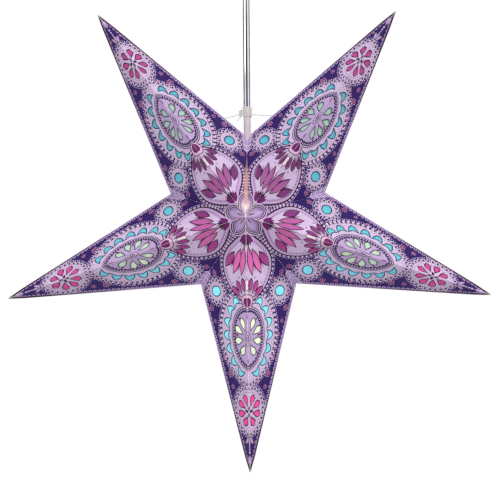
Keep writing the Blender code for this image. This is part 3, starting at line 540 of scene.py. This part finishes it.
def lotusOutline():
    # pointed at the apex, widest beside the valley, round towards the tip
    start, long, half, widest = middles["lotus"][0], 0.97, 0.49, 0.55
    side = [(start + long * t, half * sin(pi / 2 * t / widest)) for t in [widest * k / 12 for k in range(13)]]
    for k in range(1, 13):
        u = sin(pi / 2 * k / 12)
        side.append((start + long * (widest + (1 - widest) * u), half * sqrt(max(0, 1 - u * u))))
    return mirroredHalf(side)


def drawLotus():
    lotus = lotusOutline()
    lay(grown(lotus, 0.082), "indigo")
    beads(lotus, 0.074, 0.031, 0.0095, "paleLilac")
    for offset, ink in ((0.050, "paleLilac"), (0.034, "plum")):
        lay(waved(lotus, offset, 0.012, 0.062), ink)
    lay(grown(lotus, 0.006), "lilac")
    line(lotus, -0.012, 0.008, "rosePale", "lilac")
    beads(lotus, -0.036, 0.046, 0.0095, "maroon")
    lay(grown(lotus, -0.058), "paleLilac")
    foot, fan = middles["lotus"], middles["fan"]
    for turn in (0, 14, -14, 27, -27, 39, -39):   # short sepals at its point
        lay(around(petal(0.19, 0.052, 5), foot, 0.125, radians(turn)), "maroon" if turn % 2 else "plum")
    for turn, far, length, width in (   # long ones between its windows
            (0, 0.40, 0.36, 0.035), (18, 0.47, 0.30, 0.022), (-18, 0.47, 0.30, 0.022),
            (31.5, 0.54, 0.26, 0.02), (-31.5, 0.54, 0.26, 0.02)):
        lay(around(petal(length, width), foot, far, radians(turn)), "maroon")
    for k in range(7):   # beads round the fan at its wide end
        a = radians(104 + 25.3 * k)
        for radius, sides, ink in ((0.013, 8, "plum"), (0.006, 6, "rosePale")):
            lay(dot(*onRing(fan, 0.395, 0.395, a), radius, sides), ink)
    for k in range(5):
        lay(around(petal(0.15, 0.018, 5), fan, 0.25, radians(132 + 24 * k)), "maroon")
    for x, long, wide, sides, ink in (
            (0.945, 0.085, 0.052, 16, "maroon"), (0.945, 0.073, 0.042, 16, "cream"),
            (1.175, 0.10, 0.13, 20, "plum"), (1.182, 0.095, 0.118, 20, "rosePale"),
            (1.195, 0.07, 0.085, 20, "maroon")):
        lay(oval(x, 0, long, wide, 0, sides), ink)


def drawPoint():
    for turn in (-26, 0, 26):
        leaf = around(petal(0.13, 0.04, 5), middles["point"], 0.105, radians(turn))
        lay(grown(leaf, 0.010), "plum")
        lay(leaf, "lilac")
    for x, radius in ((3.245, 0.012), (3.285, 0.015), (3.33, 0.018)):
        lay(dot(x, 0, radius), "paleLilac")
    for start, ink in ((3.365, "plum"), (3.375, "mauve"), (3.425, "plum"), (3.433, "lilac"),
                       (3.50, "plum"), (3.507, "mauve"), (3.60, "plum")):
        wide, far = start - 3.2, start + 0.6   # no two of these outlines share an edge
        lay([(start, 0), (start + 0.05, 0.05), (start + 0.04, wide), (far, wide), (far, -wide),
             (start + 0.04, -wide), (start + 0.05, -0.05)], ink)
    lay(moved(petal(0.13, 0.020), 0, (3.46, 0)), "paleLilac")


def drawFrond():
    # a feathery frond from the notch towards the apex, halved by the valley
    way = atan2(-notchSpot[1], -notchSpot[0])
    for k in range(7):
        far = 0.30 - 0.043 * k
        size = 0.075 + 0.012 * k
        root = onRing(notchSpot, far, far, way)
        for side in (1, -1):
            leaf = around(petal(size, 0.030, 5), root, size / 2, way + side * radians(128))
            lay(grown(leaf, 0.006), "indigo")
            lay(leaf, "lilac" if k % 2 else "paleLilac")
    lay(around(petal(0.40, 0.035), notchSpot, 0.16, way), "lilac")


def drawRosette():
    # petals on the valleys and small ones on the ridges, round the apex
    middle, valley = middles["apex"], atan2(notchSpot[1], notchSpot[0])
    line(around(petal(0.20, 0.07), middle, 0.105, 0), 0.010, 0.010, "plum", "rosePale")
    big = around(petal(0.36, 0.175, 12), middle, 0.175, valley)
    line(big, 0.044, 0.014, "paleLilac", "plum")
    line(big, 0.014, 0.010, "paleLilac", "plum")
    lay(grown(big, -0.008), "mauve")
    lay(around(petal(0.27, 0.10), middle, 0.165, valley), "lilac")
    lay(around(petal(0.15, 0.018), middle, 0.10, valley), "plum")


def drawPrint():
    lay([(-0.05, -0.02), (tipSpot[0] + 0.1, -0.02), (notchSpot[0], notchSpot[1] + 0.05)], "indigo")
    for flower in flowers:
        drawFlower(*flower)
    for draw in (drawRim, drawTipRose, drawEar, drawMandala, drawLotus, drawPoint, drawFrond, drawRosette,
                 drawEdge):
        draw()
    edges = {"turquoise": "navy", "mint": "green", "cerise": "plum", "pink": "plum", "magenta": "plum"}
    for outline, dye in windows:
        if dye == "turquoise":
            lay(grown(outline, 0.028), "paleLilac")
        lay(grown(outline, 0.015), edges[dye])


cutWindows()
drawPrint()
print("print:", len(layers), "outlines,", len(windows), "windows")


# Star: five points of four sheets, all laid out by one flat pattern
star = {"notchShare": 0.3143, "notchTurn": 36, "tipFrom": 290 * mm, "paper": 0.35 * mm, "gridShare": 0.085,
        "bow": 1.3 * mm, "buckle": 0.5 * mm, "buckleScale": 16, "mitreBand": 3 * mm,
        # gaps in the plane of the sheet, at the edges opposite these corners
        "foldGaps": {"top": 0.08 * mm, "tip": 0.03 * mm, "notch": 0.08 * mm},
        "mitres": {"top": 0.9 * mm, "tip": 0.12 * mm, "notch": 0.8 * mm},
        "tissueDepth": 0.9 * mm, "tissue": 0.12 * mm, "tissueInsets": (0.035, 0.06, 0.06), "patchLap": 0.03}
# the open seam, in shares from the notch, 0, to the apex, 1
seam = {"gape": 2.4 * mm, "least": 0.1 * mm, "band": 45 * mm, "opens": (0.24, 0.3), "shuts": (0.93, 0.14)}
# a wider gap where a ridge's fold ends: at the point's tip, and less at the apex
foldEnd = {"gap": 0.22 * mm, "tip": (0.92, 0.04), "apex": (0.985, 0.012), "apexShare": 0.4}
colours = {
    # inks
    "indigo": linear(49, 27, 98), "lilac": linear(192, 166, 210), "paleLilac": linear(214, 191, 224),
    "mauve": linear(166, 136, 188), "plum": linear(56, 18, 54), "maroon": linear(112, 30, 102),
    "rose": linear(182, 62, 128), "bloom": linear(132, 40, 110), "rosePale": linear(226, 186, 212),
    "cream": linear(244, 230, 232), "navy": linear(24, 40, 72), "green": linear(48, 70, 66),
    "white": linear(244, 238, 242),
    # dyes of the tissue
    "turquoise": linear(88, 188, 210), "mint": linear(168, 204, 188), "cerise": linear(196, 62, 150),
    "pink": linear(160, 84, 154), "magenta": linear(118, 40, 118), "plain": linear(220, 219, 234),
}
rayAzimuths = {"bottom": 270, "low_right": 342, "top_right": 54, "top_left": 126, "low_left": 198}
foldAxis = Vector(joints["star_opening"]["axis"])
halfDepth = -apex.y
reach = (apex - foldAxis * (apex.y / foldAxis.y) - starCentre).length
notchReach = reach * star["notchShare"]
tipLimit, depthLimit = starCentre.z - cadBox[0].z, -cadBox[0].y
facetOutline = [middles["apex"], tipSpot, notchSpot]


def leftHanded(outline):
    return outline if doubleArea(outline) > 0 else outline[::-1]


def flatPattern(border, shapes, holes, extra, least=1e-5):
    # triangles inside the border and outside the holes, with the number of the topmost shape;
    # points closer than the least distance become one
    points, faces = [], []
    for outline in [border] + [leftHanded(shape) for shape in shapes] + holes:
        faces.append(list(range(len(points), len(points) + len(outline))))
        points += [Vector(spot) for spot in outline]
    points += [Vector(spot) for spot in extra]
    spots, _, triangles, sources, _, owners = delaunay_2d_cdt(points, [], faces, 1, least, True)
    kept = []
    for corners, over in zip(triangles, owners):
        if 0 in over and max(over) <= len(shapes):
            kept.append((corners, max(over)))
    used = sorted({k for corners, _ in kept for k in corners})
    order = {k: n for n, k in enumerate(used)}
    return ([spots[k] for k in used], [([order[k] for k in corners], top) for corners, top in kept],
            [sources[k] for k in used])


def edgeLoops(triangles):
    # the pattern's free edges, chained, the longest loop first
    pairs = set()
    for corners, _ in triangles:
        pairs.update(pairsOf(corners))
    after = {a: b for a, b in pairs if (b, a) not in pairs}
    loops = []
    while after:
        start, following = next(iter(after.items()))
        loop = [start]
        del after[start]
        while following != start:
            loop.append(following)
            following = after.pop(following)
        loops.append(loop)
    return sorted(loops, key=len, reverse=True)


def gridSpots(step):
    # a triangular grid inside the facet, which lets the sheet bow
    spots = []
    for row in range(1, int(1 / step)):
        y = row * step
        left, right = notchSpot[0] * y, tipSpot[0] + (notchSpot[0] - tipSpot[0]) * y
        x = left + step * (0.6 + 0.5 * (row % 2))
        while x < right - step * 0.6:
            spots.append((x, y))
            x += step * 1.15
    return spots


def makePattern(border, shapes, holes):
    # both faces of a sheet: a front with the shapes, and a plain back that shares its edges
    extra = gridSpots(star["gridShare"])
    holes = [leftHanded(hole) for hole in holes]
    spots, front, _ = flatPattern(border, [outline for outline, _ in shapes], holes, extra)
    loops = edgeLoops(front)
    rings = loops[:1] + [loop[::-1] for loop in loops[1:]]
    outlines = [[spots[k] for k in ring] for ring in rings]
    backSpots, back, sources = flatPattern(outlines[0], [], outlines[1:], extra, 1e-7)
    order = [k for ring in rings for k in ring]
    twin = {}
    for k, origins in enumerate(sources):
        for origin in origins:
            if origin < len(order):
                twin[order[origin]] = k
    names = [None] + [colour for _, colour in shapes]
    front = [(corners, names[top]) for corners, top in front]
    colourAt = {pair: colour for corners, colour in front for pair in pairsOf(corners)}
    # the colour of the outer edges, because the print runs over a fold
    folds = {pair: colourAt[pair] for pair in pairsOf(loops[0])}
    return {"spots": spots, "front": front, "backSpots": backSpots, "back": [corners for corners, _ in back],
            "loops": loops, "twin": twin, "folds": folds}


def spoke(turn, far):
    return starCentre + Vector((far * cos(radians(turn)), 0, far * sin(radians(turn))))


def facetFrame(azimuth, face, side):
    top = starCentre + Vector((0, face * halfDepth, 0))
    notchAzimuth = azimuth + side * star["notchTurn"]
    tip, notch = spoke(azimuth, reach), spoke(notchAzimuth, notchReach)
    into = (tip - top).cross(notch - top).normalized()
    turned = into.y * face < 0   # the pattern's own order then faces outwards
    return {"corners": (top, tip, notch), "into": into if turned else -into, "turned": turned,
            "run": (tip - starCentre).normalized(), "atSeam": notchAzimuth == 90}


def rise(value, start, run):
    # from 0 at the start to 1 after the run
    return max(0.0, min(1.0, (value - start) / run))


def eased(distance, margin, band):
    # moves what lies near an edge away from it, and less so towards the band's far side
    return distance if distance >= band else margin + distance * (band - margin) / band


def layOn(facet, spot, depth, inner):
    # a pattern spot on its facet, bowed a little inwards
    top, tip, notch = facet["corners"]
    across = spot[1]
    alongTip = (spot[0] - notchSpot[0] * across) / tipSpot[0]
    atTop = 1 - across - alongTip
    bow = 27 * max(0.0, across * alongTip * atTop)   # 1 in the facet's middle
    if facet["atSeam"]:
        up = atTop / max(1e-9, 1 - alongTip)
        shuts, run = seam["shuts"]
        parted = min(rise(up, *seam["opens"]), max(0.0, (shuts - up) / run))
        gape = seam["least"] + seam["gape"] * parted
        shifted = eased(alongTip * facetHeights["tip"], gape, seam["band"]) / facetHeights["tip"]
        shrink = (1 - shifted) / max(1e-9, 1 - alongTip)
        alongTip, across, atTop = shifted, across * shrink, atTop * shrink
    margins = dict(star["mitres"] if inner else star["foldGaps"])
    nearApex = min(foldEnd["apexShare"], rise(atTop, *foldEnd["apex"]))
    margins["notch"] += foldEnd["gap"] * max(rise(alongTip, *foldEnd["tip"]), nearApex)
    shares = {"top": atTop, "tip": alongTip, "notch": across}
    for corner, height in facetHeights.items():
        shares[corner] = eased(shares[corner] * height, margins[corner], star["mitreBand"]) / height
    atTop, alongTip, across = (share / sum(shares.values()) for share in shares.values())
    flat = top * atTop + tip * alongTip + notch * across
    past = max(0.0, (flat - starCentre).dot(facet["run"]) - star["tipFrom"])
    flat -= facet["run"] * past * (reach - tipLimit) / (reach - star["tipFrom"])
    flat.y = max(-depthLimit, min(depthLimit, flat.y))
    buckle = bow ** 0.5 * noise.noise(flat * star["buckleScale"]) * star["buckle"]
    return flat + facet["into"] * (depth + max(0.0, star["bow"] * bow + buckle))


def added(name, data):
    thing = bpy.data.objects.new(name, data)
    bpy.context.scene.collection.objects.link(thing)
    return thing


def alone(thing):
    bpy.ops.object.select_all(action="DESELECT")
    thing.select_set(True)
    bpy.context.view_layer.objects.active = thing


def standIn(thing, slot, body, node, look=None):
    # the piece's finish, the body that it moves with, and the node that it stands for
    thing.data.materials.append(looks[look or slot])
    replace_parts(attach(thing, body), node)


def makeSheet(name, pattern, facet, depth, thickness, attribute, plain):
    front = [layOn(facet, spot, depth, depth > 0) for spot in pattern["spots"]]
    back = [layOn(facet, spot, depth + thickness, True) for spot in pattern["backSpots"]]
    first, twin, folds = len(front), pattern["twin"], pattern["folds"]
    faces = list(pattern["front"])
    faces += [([first + k for k in reversed(corners)], plain) for corners in pattern["back"]]
    for loop in pattern["loops"]:
        for a, b in pairsOf(loop):
            faces.append(([b, a, first + twin[a], first + twin[b]], folds.get((a, b), plain)))
    if not facet["turned"]:
        faces = [(corners[::-1], colour) for corners, colour in faces]
    mesh = bpy.data.meshes.new(name)
    mesh.from_pydata(front + back, [], [corners for corners, _ in faces])
    shades = mesh.color_attributes.new(attribute, "FLOAT_COLOR", "CORNER")
    painted = [part for corners, colour in faces for _ in corners for part in colours[colour]]
    shades.data.foreach_set("color", painted)
    drawn = pattern["spots"] + pattern["backSpots"]
    placed = mesh.uv_layers.new(name="sheet")
    corners = [k for face, _ in faces for k in face]
    placed.uv.foreach_set("vector", [part * paperLook["uvScale"] for k in corners for part in drawn[k]])
    mesh.validate()
    thing = added(name, mesh)
    alone(thing)
    bpy.ops.object.shade_smooth_by_angle(angle=radians(30))
    return thing


def insetFacet(insets):
    # the facet's corners with its ridge, rim and valley moved inwards
    corners = [Vector(spot) for spot in facetOutline]
    lines = []
    for (start, end), inset in zip(pairsOf(corners), insets):
        run = (end - start).normalized()
        lines.append((start + Vector((-run.y, run.x)) * inset, run))
    found = []
    for (a, u), (c, v) in zip(lines[-1:] + lines[:-1], lines):
        found.append(tuple(a + u * ((c - a).cross(v) / u.cross(v))))
    return found


# how far each corner of a facet lies from the edge opposite, in metres
top, tip, notch = facetFrame(rayAzimuths["bottom"], -1, 1)["corners"]
facetDouble = (tip - top).cross(notch - top).length
facetHeights = {"top": facetDouble / (notch - tip).length, "tip": facetDouble / (notch - top).length,
                "notch": facetDouble / (tip - top).length}
paperPattern = makePattern(facetOutline, layers, [outline for outline, _ in windows])
tissueOutline = insetFacet(star["tissueInsets"])
patches = [(grown(outline, star["patchLap"]), dye) for outline, dye in windows]
tissuePattern = makePattern(tissueOutline, [(tissueOutline, "plain")] + patches, [])
print("paper pattern:", len(paperPattern["front"]), "and", len(paperPattern["back"]), "triangles")

for ray, azimuth in rayAzimuths.items():
    for face, faceName in ((-1, "front"), (1, "back")):
        for side, sideName in ((1, "ccw"), (-1, "cw")):
            body = f"{ray}_{faceName}_{sideName}"
            facet = facetFrame(azimuth, face, side)
            paper = makeSheet("printed_sheet_" + body, paperPattern, facet, 0, star["paper"], "ink", "white")
            standIn(paper, "paper_print", body, "paper_" + body)
            tissue = makeSheet("backing_tissue_" + body, tissuePattern, facet, star["tissueDepth"],
                               star["tissue"], "dye", "plain")
            standIn(tissue, "tissue_backing", body, "tissue_" + body)
print("star: 20 printed sheets and 20 tissues")


# Twine: cotton strands laid together, wound on the tube and tied to the two top points
twine = {"plies": 3, "plyRadius": 0.34 * mm, "knotPly": 0.33 * mm, "tiePly": 0.289 * mm,
         "twist": 4.6 * mm, "step": 0.55 * mm, "turnSteps": 16, "wrapRadius": 5.05 * mm,
         "wrapRise": 1.45 * mm, "wrapTurns": 8, "wrapFoot": 124 * mm,
         "knotMiddle": (-8.1 * mm, 0, 131.5 * mm), "knotRadius": 1.45 * mm, "knotTurns": 4.7,
         "knotTail": 7 * mm, "tailWay": (-0.5, -1 / 3, -sin(radians(60))), "tieHeight": 126.5 * mm,
         "tieStarts": {"left": -10.2 * mm, "right": 6.1 * mm}, "tieShares": {"left": 0.152, "right": 0.169},
         "tieSag": 0.5 * mm, "tieInside": 6.5 * mm, "stopRadius": 1.8 * mm, "stopTurns": 2}


def evenRoute(points, step):
    # the same route with points a small step apart on a smooth curve
    dense = []
    last = len(points) - 1
    for k in range(last):
        p0, p1, p2, p3 = (points[min(max(n, 0), last)] for n in range(k - 1, k + 3))
        pieces = max(1, round((p2 - p1).length / step))
        bend, swing = 2 * p0 - 5 * p1 + 4 * p2 - p3, 3 * p1 - p0 - 3 * p2 + p3
        for n in range(pieces):
            t = n / pieces
            dense.append(0.5 * (2 * p1 + (p2 - p0) * t + bend * t ** 2 + swing * t ** 3))
    return dense + [points[-1]]


def plied(name, points, plyRadius, body, node):
    # strands that turn round one route
    route = evenRoute(points, twine["step"])
    curve = bpy.data.curves.new(name, "CURVE")
    curve.dimensions = "3D"
    curve.bevel_depth = plyRadius
    curve.bevel_resolution = 2
    curve.use_fill_caps = True
    far = plyRadius * 2 / sqrt(3)
    for ply in range(twine["plies"]):
        spline = curve.splines.new("POLY")
        spline.points.add(len(route) - 1)
        side = Vector((0.3, 0.9, 0.3))   # a way that no route begins in
        for k, spot in enumerate(route):
            run = (route[min(k + 1, len(route) - 1)] - route[max(k - 1, 0)]).normalized()
            side = (side - run * side.dot(run)).normalized()
            turn = 2 * pi * (ply / twine["plies"] + k * twine["step"] / twine["twist"])
            spline.points[k].co = (*(spot + (side * cos(turn) + run.cross(side) * sin(turn)) * far), 1)
    thing = added(name, curve)
    alone(thing)
    bpy.ops.object.convert(target="MESH")
    standIn(thing, "twine", body, node)


def coil(radius, turns, foot, climb):
    # from its foot, one climb a turn
    steps = twine["turnSteps"]
    spots = []
    for k in range(round(turns * steps) + 1):
        turn = 2 * pi * k / steps
        spots.append(Vector((radius * cos(turn), radius * sin(turn), foot + climb * k / steps)))
    return spots


def makeTwine():
    steps, climb = twine["turnSteps"], twine["wrapRise"]
    wound = coil(twine["wrapRadius"], twine["wrapTurns"], twine["wrapFoot"], climb)
    plied("twine_wrap_strands", [starCentre + spot for spot in wound], twine["plyRadius"], "tie_ring",
          "twine_wrap")
    # the knot: up through its core, over the top, down round the core, and a loose end
    middle = starCentre + Vector(twine["knotMiddle"])
    radius, tail = twine["knotRadius"], twine["knotTail"]
    deep = 4 * climb + tail / 2
    knot = [middle - Vector((0, 0, deep * (1 - k / 5))) for k in range(6)]
    knot += [middle + radius / 2 * Vector((1 - cos(pi * k / 4), 0, sin(pi * k / 4))) for k in range(1, 4)]
    knot += [middle + spot for spot in coil(radius, twine["knotTurns"], 0, -climb)]
    knot += [knot[-1] + tail * k / 3 * Vector(twine["tailWay"]) for k in range(1, 4)]
    plied("twine_knot_strands", knot, twine["knotPly"], "top_left_front_cw", "twine_knot")
    ply = twine["tiePly"]
    strand = ply * (1 + 2 / sqrt(3))
    for name, sheet in (("left", "top_left_front_cw"), ("right", "top_right_front_ccw")):
        tip = spoke(rayAzimuths["top_" + name], reach)
        rim = spoke(90, notchReach).lerp(tip, twine["tieShares"][name])
        end = starCentre + Vector((twine["tieStarts"][name], 0, twine["tieHeight"]))
        stop = rim + (rim - end).normalized() * twine["tieInside"]
        route = [end, end.lerp(stop, 0.5) - Vector((0, 0, twine["tieSag"])), stop]
        # a stop knot inside the sheet, wound back round the strand
        along, front = (stop - end).normalized(), Vector((0, 1, 0))
        for k in range(1, twine["stopTurns"] * steps + 1):
            turn = 2 * pi * k / steps
            out = along.cross(front) * cos(turn) + front * sin(turn)
            route.append(stop + out * (twine["stopRadius"] - strand) - along * strand * 2 * k / steps)
        plied("tie_strands_" + name, route, ply, sheet, "tie_twine_" + name)


makeTwine()
print("twine: wrap, knot and two ties")


# Lamp and ceiling fitting
weldReach = 0.001 * mm   # points of a spun piece that lie closer become one


def spun(name, profile, steps, shut=True):
    # an outline of (radius, height) drawn point by point and spun round the lamp's axis
    bpy.ops.object.select_all(action="DESELECT")
    bpy.ops.mesh.primitive_plane_add(size=mm, location=(profile[0][0], 0, profile[0][1]))
    thing = bpy.context.object
    thing.name = thing.data.name = name
    bpy.ops.object.transform_apply(location=True)
    bpy.ops.object.mode_set(mode="EDIT")
    bpy.ops.mesh.select_mode(type="VERT")
    bpy.ops.mesh.select_all(action="SELECT")
    bpy.ops.mesh.merge(type="CENTER")
    for (fromRadius, fromHeight), (radius, height) in zip(profile, profile[1:]):
        step = (radius - fromRadius, 0, height - fromHeight)
        bpy.ops.mesh.extrude_region_move(TRANSFORM_OT_translate={"value": step})
    if shut:
        shape = bmesh.from_edit_mesh(thing.data)
        for point in shape.verts:
            point.select_set(len(point.link_edges) < 2)
        bmesh.update_edit_mesh(thing.data)
        bpy.ops.mesh.edge_face_add()
    bpy.ops.mesh.select_all(action="SELECT")
    bpy.ops.mesh.spin(steps=steps, angle=2 * pi, center=(0, 0, 0), axis=(0, 0, 1))
    bpy.ops.mesh.select_all(action="SELECT")
    bpy.ops.mesh.remove_doubles(threshold=weldReach)
    bpy.ops.mesh.normals_make_consistent(inside=False)
    bpy.ops.object.mode_set(mode="OBJECT")
    bpy.ops.object.shade_smooth_by_angle(angle=radians(35))
    return thing


def arc(middle, radius, start, end, steps):
    turns = [radians(start + (end - start) * k / steps) for k in range(steps + 1)]
    return [(middle[0] + radius * cos(a), middle[1] + radius * sin(a)) for a in turns]


tube = {"radius": 4.25 * mm, "wall": 0.9 * mm, "round": 0.3 * mm, "steps": 72}
tubeLow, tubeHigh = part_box("lamp_tube")


def makeTube():
    low, high, edge = tubeLow.z, tubeHigh.z, tube["round"]
    outer, inner = tube["radius"], tube["radius"] - tube["wall"]
    profile = [(inner, low), (outer - edge, low)] + arc((outer - edge, low + edge), edge, -60, 0, 2)
    profile += arc((outer - edge, high - edge), edge, 0, 90, 3) + [(inner, high)]
    thing = spun("chromed_tube", profile, tube["steps"])
    standIn(thing, "chrome_tube", "ceiling_lamp", "lamp_tube", "tube_shine")


cup = {"wall": 1.2 * mm, "bend": 9 * mm, "fit": 0.3 * mm, "bead": 1.1 * mm, "steps": 96}


def makeCup():
    low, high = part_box("ceiling_cup")
    out, wall, bend = high.x, cup["wall"], cup["bend"]
    bore = tube["radius"] + cup["fit"]
    turn = (out - bend, low.z + bend)
    profile = [(bore, low.z)] + arc(turn, bend, -90, 0, 14)
    profile += [(out, high.z - cup["bead"])] + arc((out - wall / 2, high.z - wall / 2), wall / 2, 0, 180, 6)
    profile += arc(turn, bend - wall, 0, -90, 10) + [(bore, low.z + wall)]
    thing = spun("polished_cup", profile, cup["steps"])
    standIn(thing, "chrome_tube", "ceiling_lamp", "ceiling_cup")


collar = {"rimShare": 0.55, "taper": 0.4 * mm, "round": 0.6 * mm}


def makeCollar():
    low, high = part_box("tube_collar")
    bore, out = tube["radius"] + cup["fit"], high.x
    rim, edge = (high.z - low.z) * collar["rimShare"], collar["round"]
    profile = [(bore, low.z), (bore + tube["wall"], low.z), (out - collar["taper"], high.z - rim)]
    profile += arc((out - edge, high.z - edge), edge, 0, 90, 4) + [(bore, high.z)]
    thing = spun("tube_collar_turned", profile, tube["steps"])
    standIn(thing, "chrome_tube", "ceiling_lamp", "tube_collar")


screw = {"slotWidth": 0.9 * mm, "slotDepth": 1.0 * mm, "pitch": 0.7 * mm, "shank": 1.75 * mm,
         "endShare": 0.7, "rootShare": 0.82, "head": 2.2 * mm, "rim": 0.7 * mm, "domeMiddle": 2.4 * mm,
         "steps": 32}


def makeScrew(side, name):
    low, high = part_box("cup_screw_" + name)
    head, middle = (high.z - low.z) / 2, (high.z + low.z) / 2
    near, far = sorted((abs(low.x), abs(high.x)))
    shank, pitch, rim, deep = screw["shank"], screw["pitch"], screw["rim"], screw["domeMiddle"]
    root, headStart = shank * screw["rootShare"], far - screw["head"]
    profile = [(0, near), (shank * screw["endShare"], near)]
    height = near + pitch / 2
    while height < headStart - pitch:
        profile += [(root, height), (shank, height + pitch / 2)]
        height += pitch
    profile += [(root, headStart), (head, headStart), (head, headStart + rim)]
    profile += arc((0, headStart - deep), hypot(head, deep + rim), 40, 88, 8)
    profile = [point for point in profile if point[1] <= far] + [(0, far)]
    thing = spun("slotted_screw_" + name, profile, screw["steps"], False)
    bpy.ops.object.select_all(action="DESELECT")
    bpy.ops.mesh.primitive_cube_add(size=1, location=(0, 0, far))
    slot = bpy.context.object
    slot.scale = (3 * head, screw["slotWidth"], 2 * screw["slotDepth"])
    bpy.ops.object.transform_apply(location=False, scale=True)
    alone(thing)
    cutOut = thing.modifiers.new("slot", "BOOLEAN")
    cutOut.operation, cutOut.solver, cutOut.object = "DIFFERENCE", "EXACT", slot
    bpy.ops.object.modifier_apply(modifier="slot")
    bpy.data.objects.remove(slot, do_unlink=True)
    thing.rotation_euler = (0, side * pi / 2, 0)
    thing.location = (0, 0, middle)
    bpy.ops.object.transform_apply(location=True, rotation=True)
    standIn(thing, "chrome_tube", "ceiling_lamp", "cup_screw_" + name)


bulb = {"neck": 13.5 * mm, "wall": 1.0 * mm, "lean": 50, "straight": 0.35, "neckSteps": 12, "ballSteps": 22,
        "steps": 72}


def makeBulb():
    low, high = glassLow.z, glassHigh.z
    radius = (glassHigh.x - glassLow.x) / 2
    middle = low + radius
    lean = radians(bulb["lean"])

    def pear(shrink):
        # from the neck by a soft curve to the ball, then round it to its lowest point
        wider, deeper = radius * cos(lean) - bulb["neck"], middle + radius * sin(lean) - high
        side = []
        for k in range(bulb["neckSteps"]):
            t = k / bulb["neckSteps"]
            share = bulb["straight"] * t + (1 - bulb["straight"]) * t * t * (3 - 2 * t)
            side.append((bulb["neck"] + wider * share - shrink, high + deeper * t))
        ball = arc((0, middle), radius - shrink, bulb["lean"], -90, bulb["ballSteps"])
        return side + ball[:-1] + [(0, low + shrink)]

    profile = pear(0) + pear(bulb["wall"])[::-1]
    thing = spun("blown_glass", profile, bulb["steps"])
    standIn(thing, "frosted_glass", "bulb", "bulb_glass")


makeTube()
makeCup()
makeCollar()
makeScrew(1, "right")
makeScrew(-1, "left")
makeBulb()
keptNodes = {
    "ceiling_plate": "steel_bracket", "tube_nut": "steel_bracket", "terminal_block": "terminal_plastic",
    "holder_cap": "holder_plastic", "holder_body": "holder_plastic", "lamp_flex": "flex_sheath",
    "thread_shell": "brass_parts", "centre_contact": "brass_parts", "bulb_cap": "bulb_metal",
    "bulb_stem": "clear_glass",
}
for node, look in keptNodes.items():
    for place in frame["nodes"][node].material_slots:
        place.material = looks[look]
print("lamp: new pieces and", len(keptNodes), "kept nodes")


# Studio
studio = {"distance": 2.2, "sideways": 0.0664, "lower": 0.0558, "aimSideways": 0.00035, "aimLower": 0.0272,
          "roll": -0.0083, "lens": 130.7, "sensor": 36, "sees": 50, "floor": -2.4, "floorRadius": 12,
          "floorGlow": 0.25, "bulbWatts": 0.32, "bulbColour": (1.0, 0.50, 0.24), "bulbLight": 31 * mm}
lights = (
    # name, place from the star's middle, size, watts, colour
    ("key", (1.70, -1.80, 2.10), 1.6, 46, (1.0, 0.985, 0.97)),
    ("fill", (-2.17, -1.45, 1.24), 1.8, 15, (0.97, 0.98, 1.0)),
    ("back", (0.4, 2.4, 0.6), 1.8, 24, (1.0, 1.0, 1.0)),
)
# what the chrome mirrors, from the front to the back: a dark strip, a white stretch and a grey room
white, softWhite, dark = (1, 1, 1, 1), (0.66, 0.66, 0.67, 1), (0.004, 0.004, 0.005, 1)
roomTones = ((0.0, dark), (0.035, dark), (0.06, white), (0.42, white), (0.52, (0.09, 0.09, 0.10, 1)),
             (1.0, (0.05, 0.05, 0.055, 1)))


def floorLook(spot):
    tone = spot.grain(3, 2, 0.5).toned((245, 245, 246), (249, 249, 249), 0.3)
    return {"Base Color": tone, "Roughness": 0.8, "Emission Color": white,
            "Emission Strength": studio["floorGlow"]}


def makeStudio():
    camera = added("camera", bpy.data.cameras.new("camera"))
    camera.location = starCentre + Vector((studio["sideways"], -studio["distance"], -studio["lower"]))
    aim = starCentre + Vector((studio["aimSideways"], 0, -studio["aimLower"]))
    facing = (aim - camera.location).to_track_quat("-Z", "Y").to_matrix()
    camera.rotation_euler = (facing @ Matrix.Rotation(studio["roll"], 3, "Z")).to_euler()
    camera.data.lens, camera.data.sensor_width = studio["lens"], studio["sensor"]
    camera.data.clip_end = studio["sees"]
    bpy.context.scene.camera = camera

    bpy.ops.object.select_all(action="DESELECT")
    bpy.ops.mesh.primitive_circle_add(vertices=96, radius=studio["floorRadius"], fill_type="NGON",
                                      location=(0, 0, studio["floor"]))
    floor = bpy.context.object
    floor.name = "floor"
    floor.data.materials.append(makeMaterial("floor_look", floorLook))
    floor.visible_diffuse = False   # the light from below stays as soft as from the sides

    for name, place, size, power, colour in lights:
        lamp = bpy.data.lights.new(name, "AREA")
        lamp.shape, lamp.size, lamp.energy, lamp.color = "DISK", size, power, colour
        thing = added(name, lamp)
        thing.location = starCentre + Vector(place)
        thing.rotation_euler = (starCentre - thing.location).to_track_quat("-Z", "Y").to_euler()
    inside = bpy.data.lights.new("bulb_light", "POINT")
    inside.energy, inside.color = studio["bulbWatts"], studio["bulbColour"]
    inside.shadow_soft_size = studio["bulbLight"]
    thing = added("bulb_light", inside)
    thing.location = lampSpot
    thing.visible_camera = False   # the lit glass shows, not the light itself


def makeWorld():
    # white to the eye, softer as light, and a room for the chrome to mirror
    world = bpy.data.worlds.new("studio")
    bpy.context.scene.world = world
    world.use_nodes = True
    tree = world.node_tree
    start = Flow(tree)
    way = start.add("TexCoord", out="Generated").part(1)
    mirrored = (way * 0.5 + 0.5).ramped(*roomTones)
    ray = start.add("LightPath", out="Is Glossy Ray")
    eye = start.add("LightPath", out="Is Camera Ray")
    soft = start.add("RGB")
    soft.socket.default_value = softWhite
    colour = soft.toward(mirrored, ray).toward(white, eye)
    tree.links.new(colour.socket, tree.nodes["Background"].inputs["Color"])


makeStudio()
makeWorld()
bpy.context.scene.view_settings.view_transform = "Standard"
print("studio: camera, lights and floor")
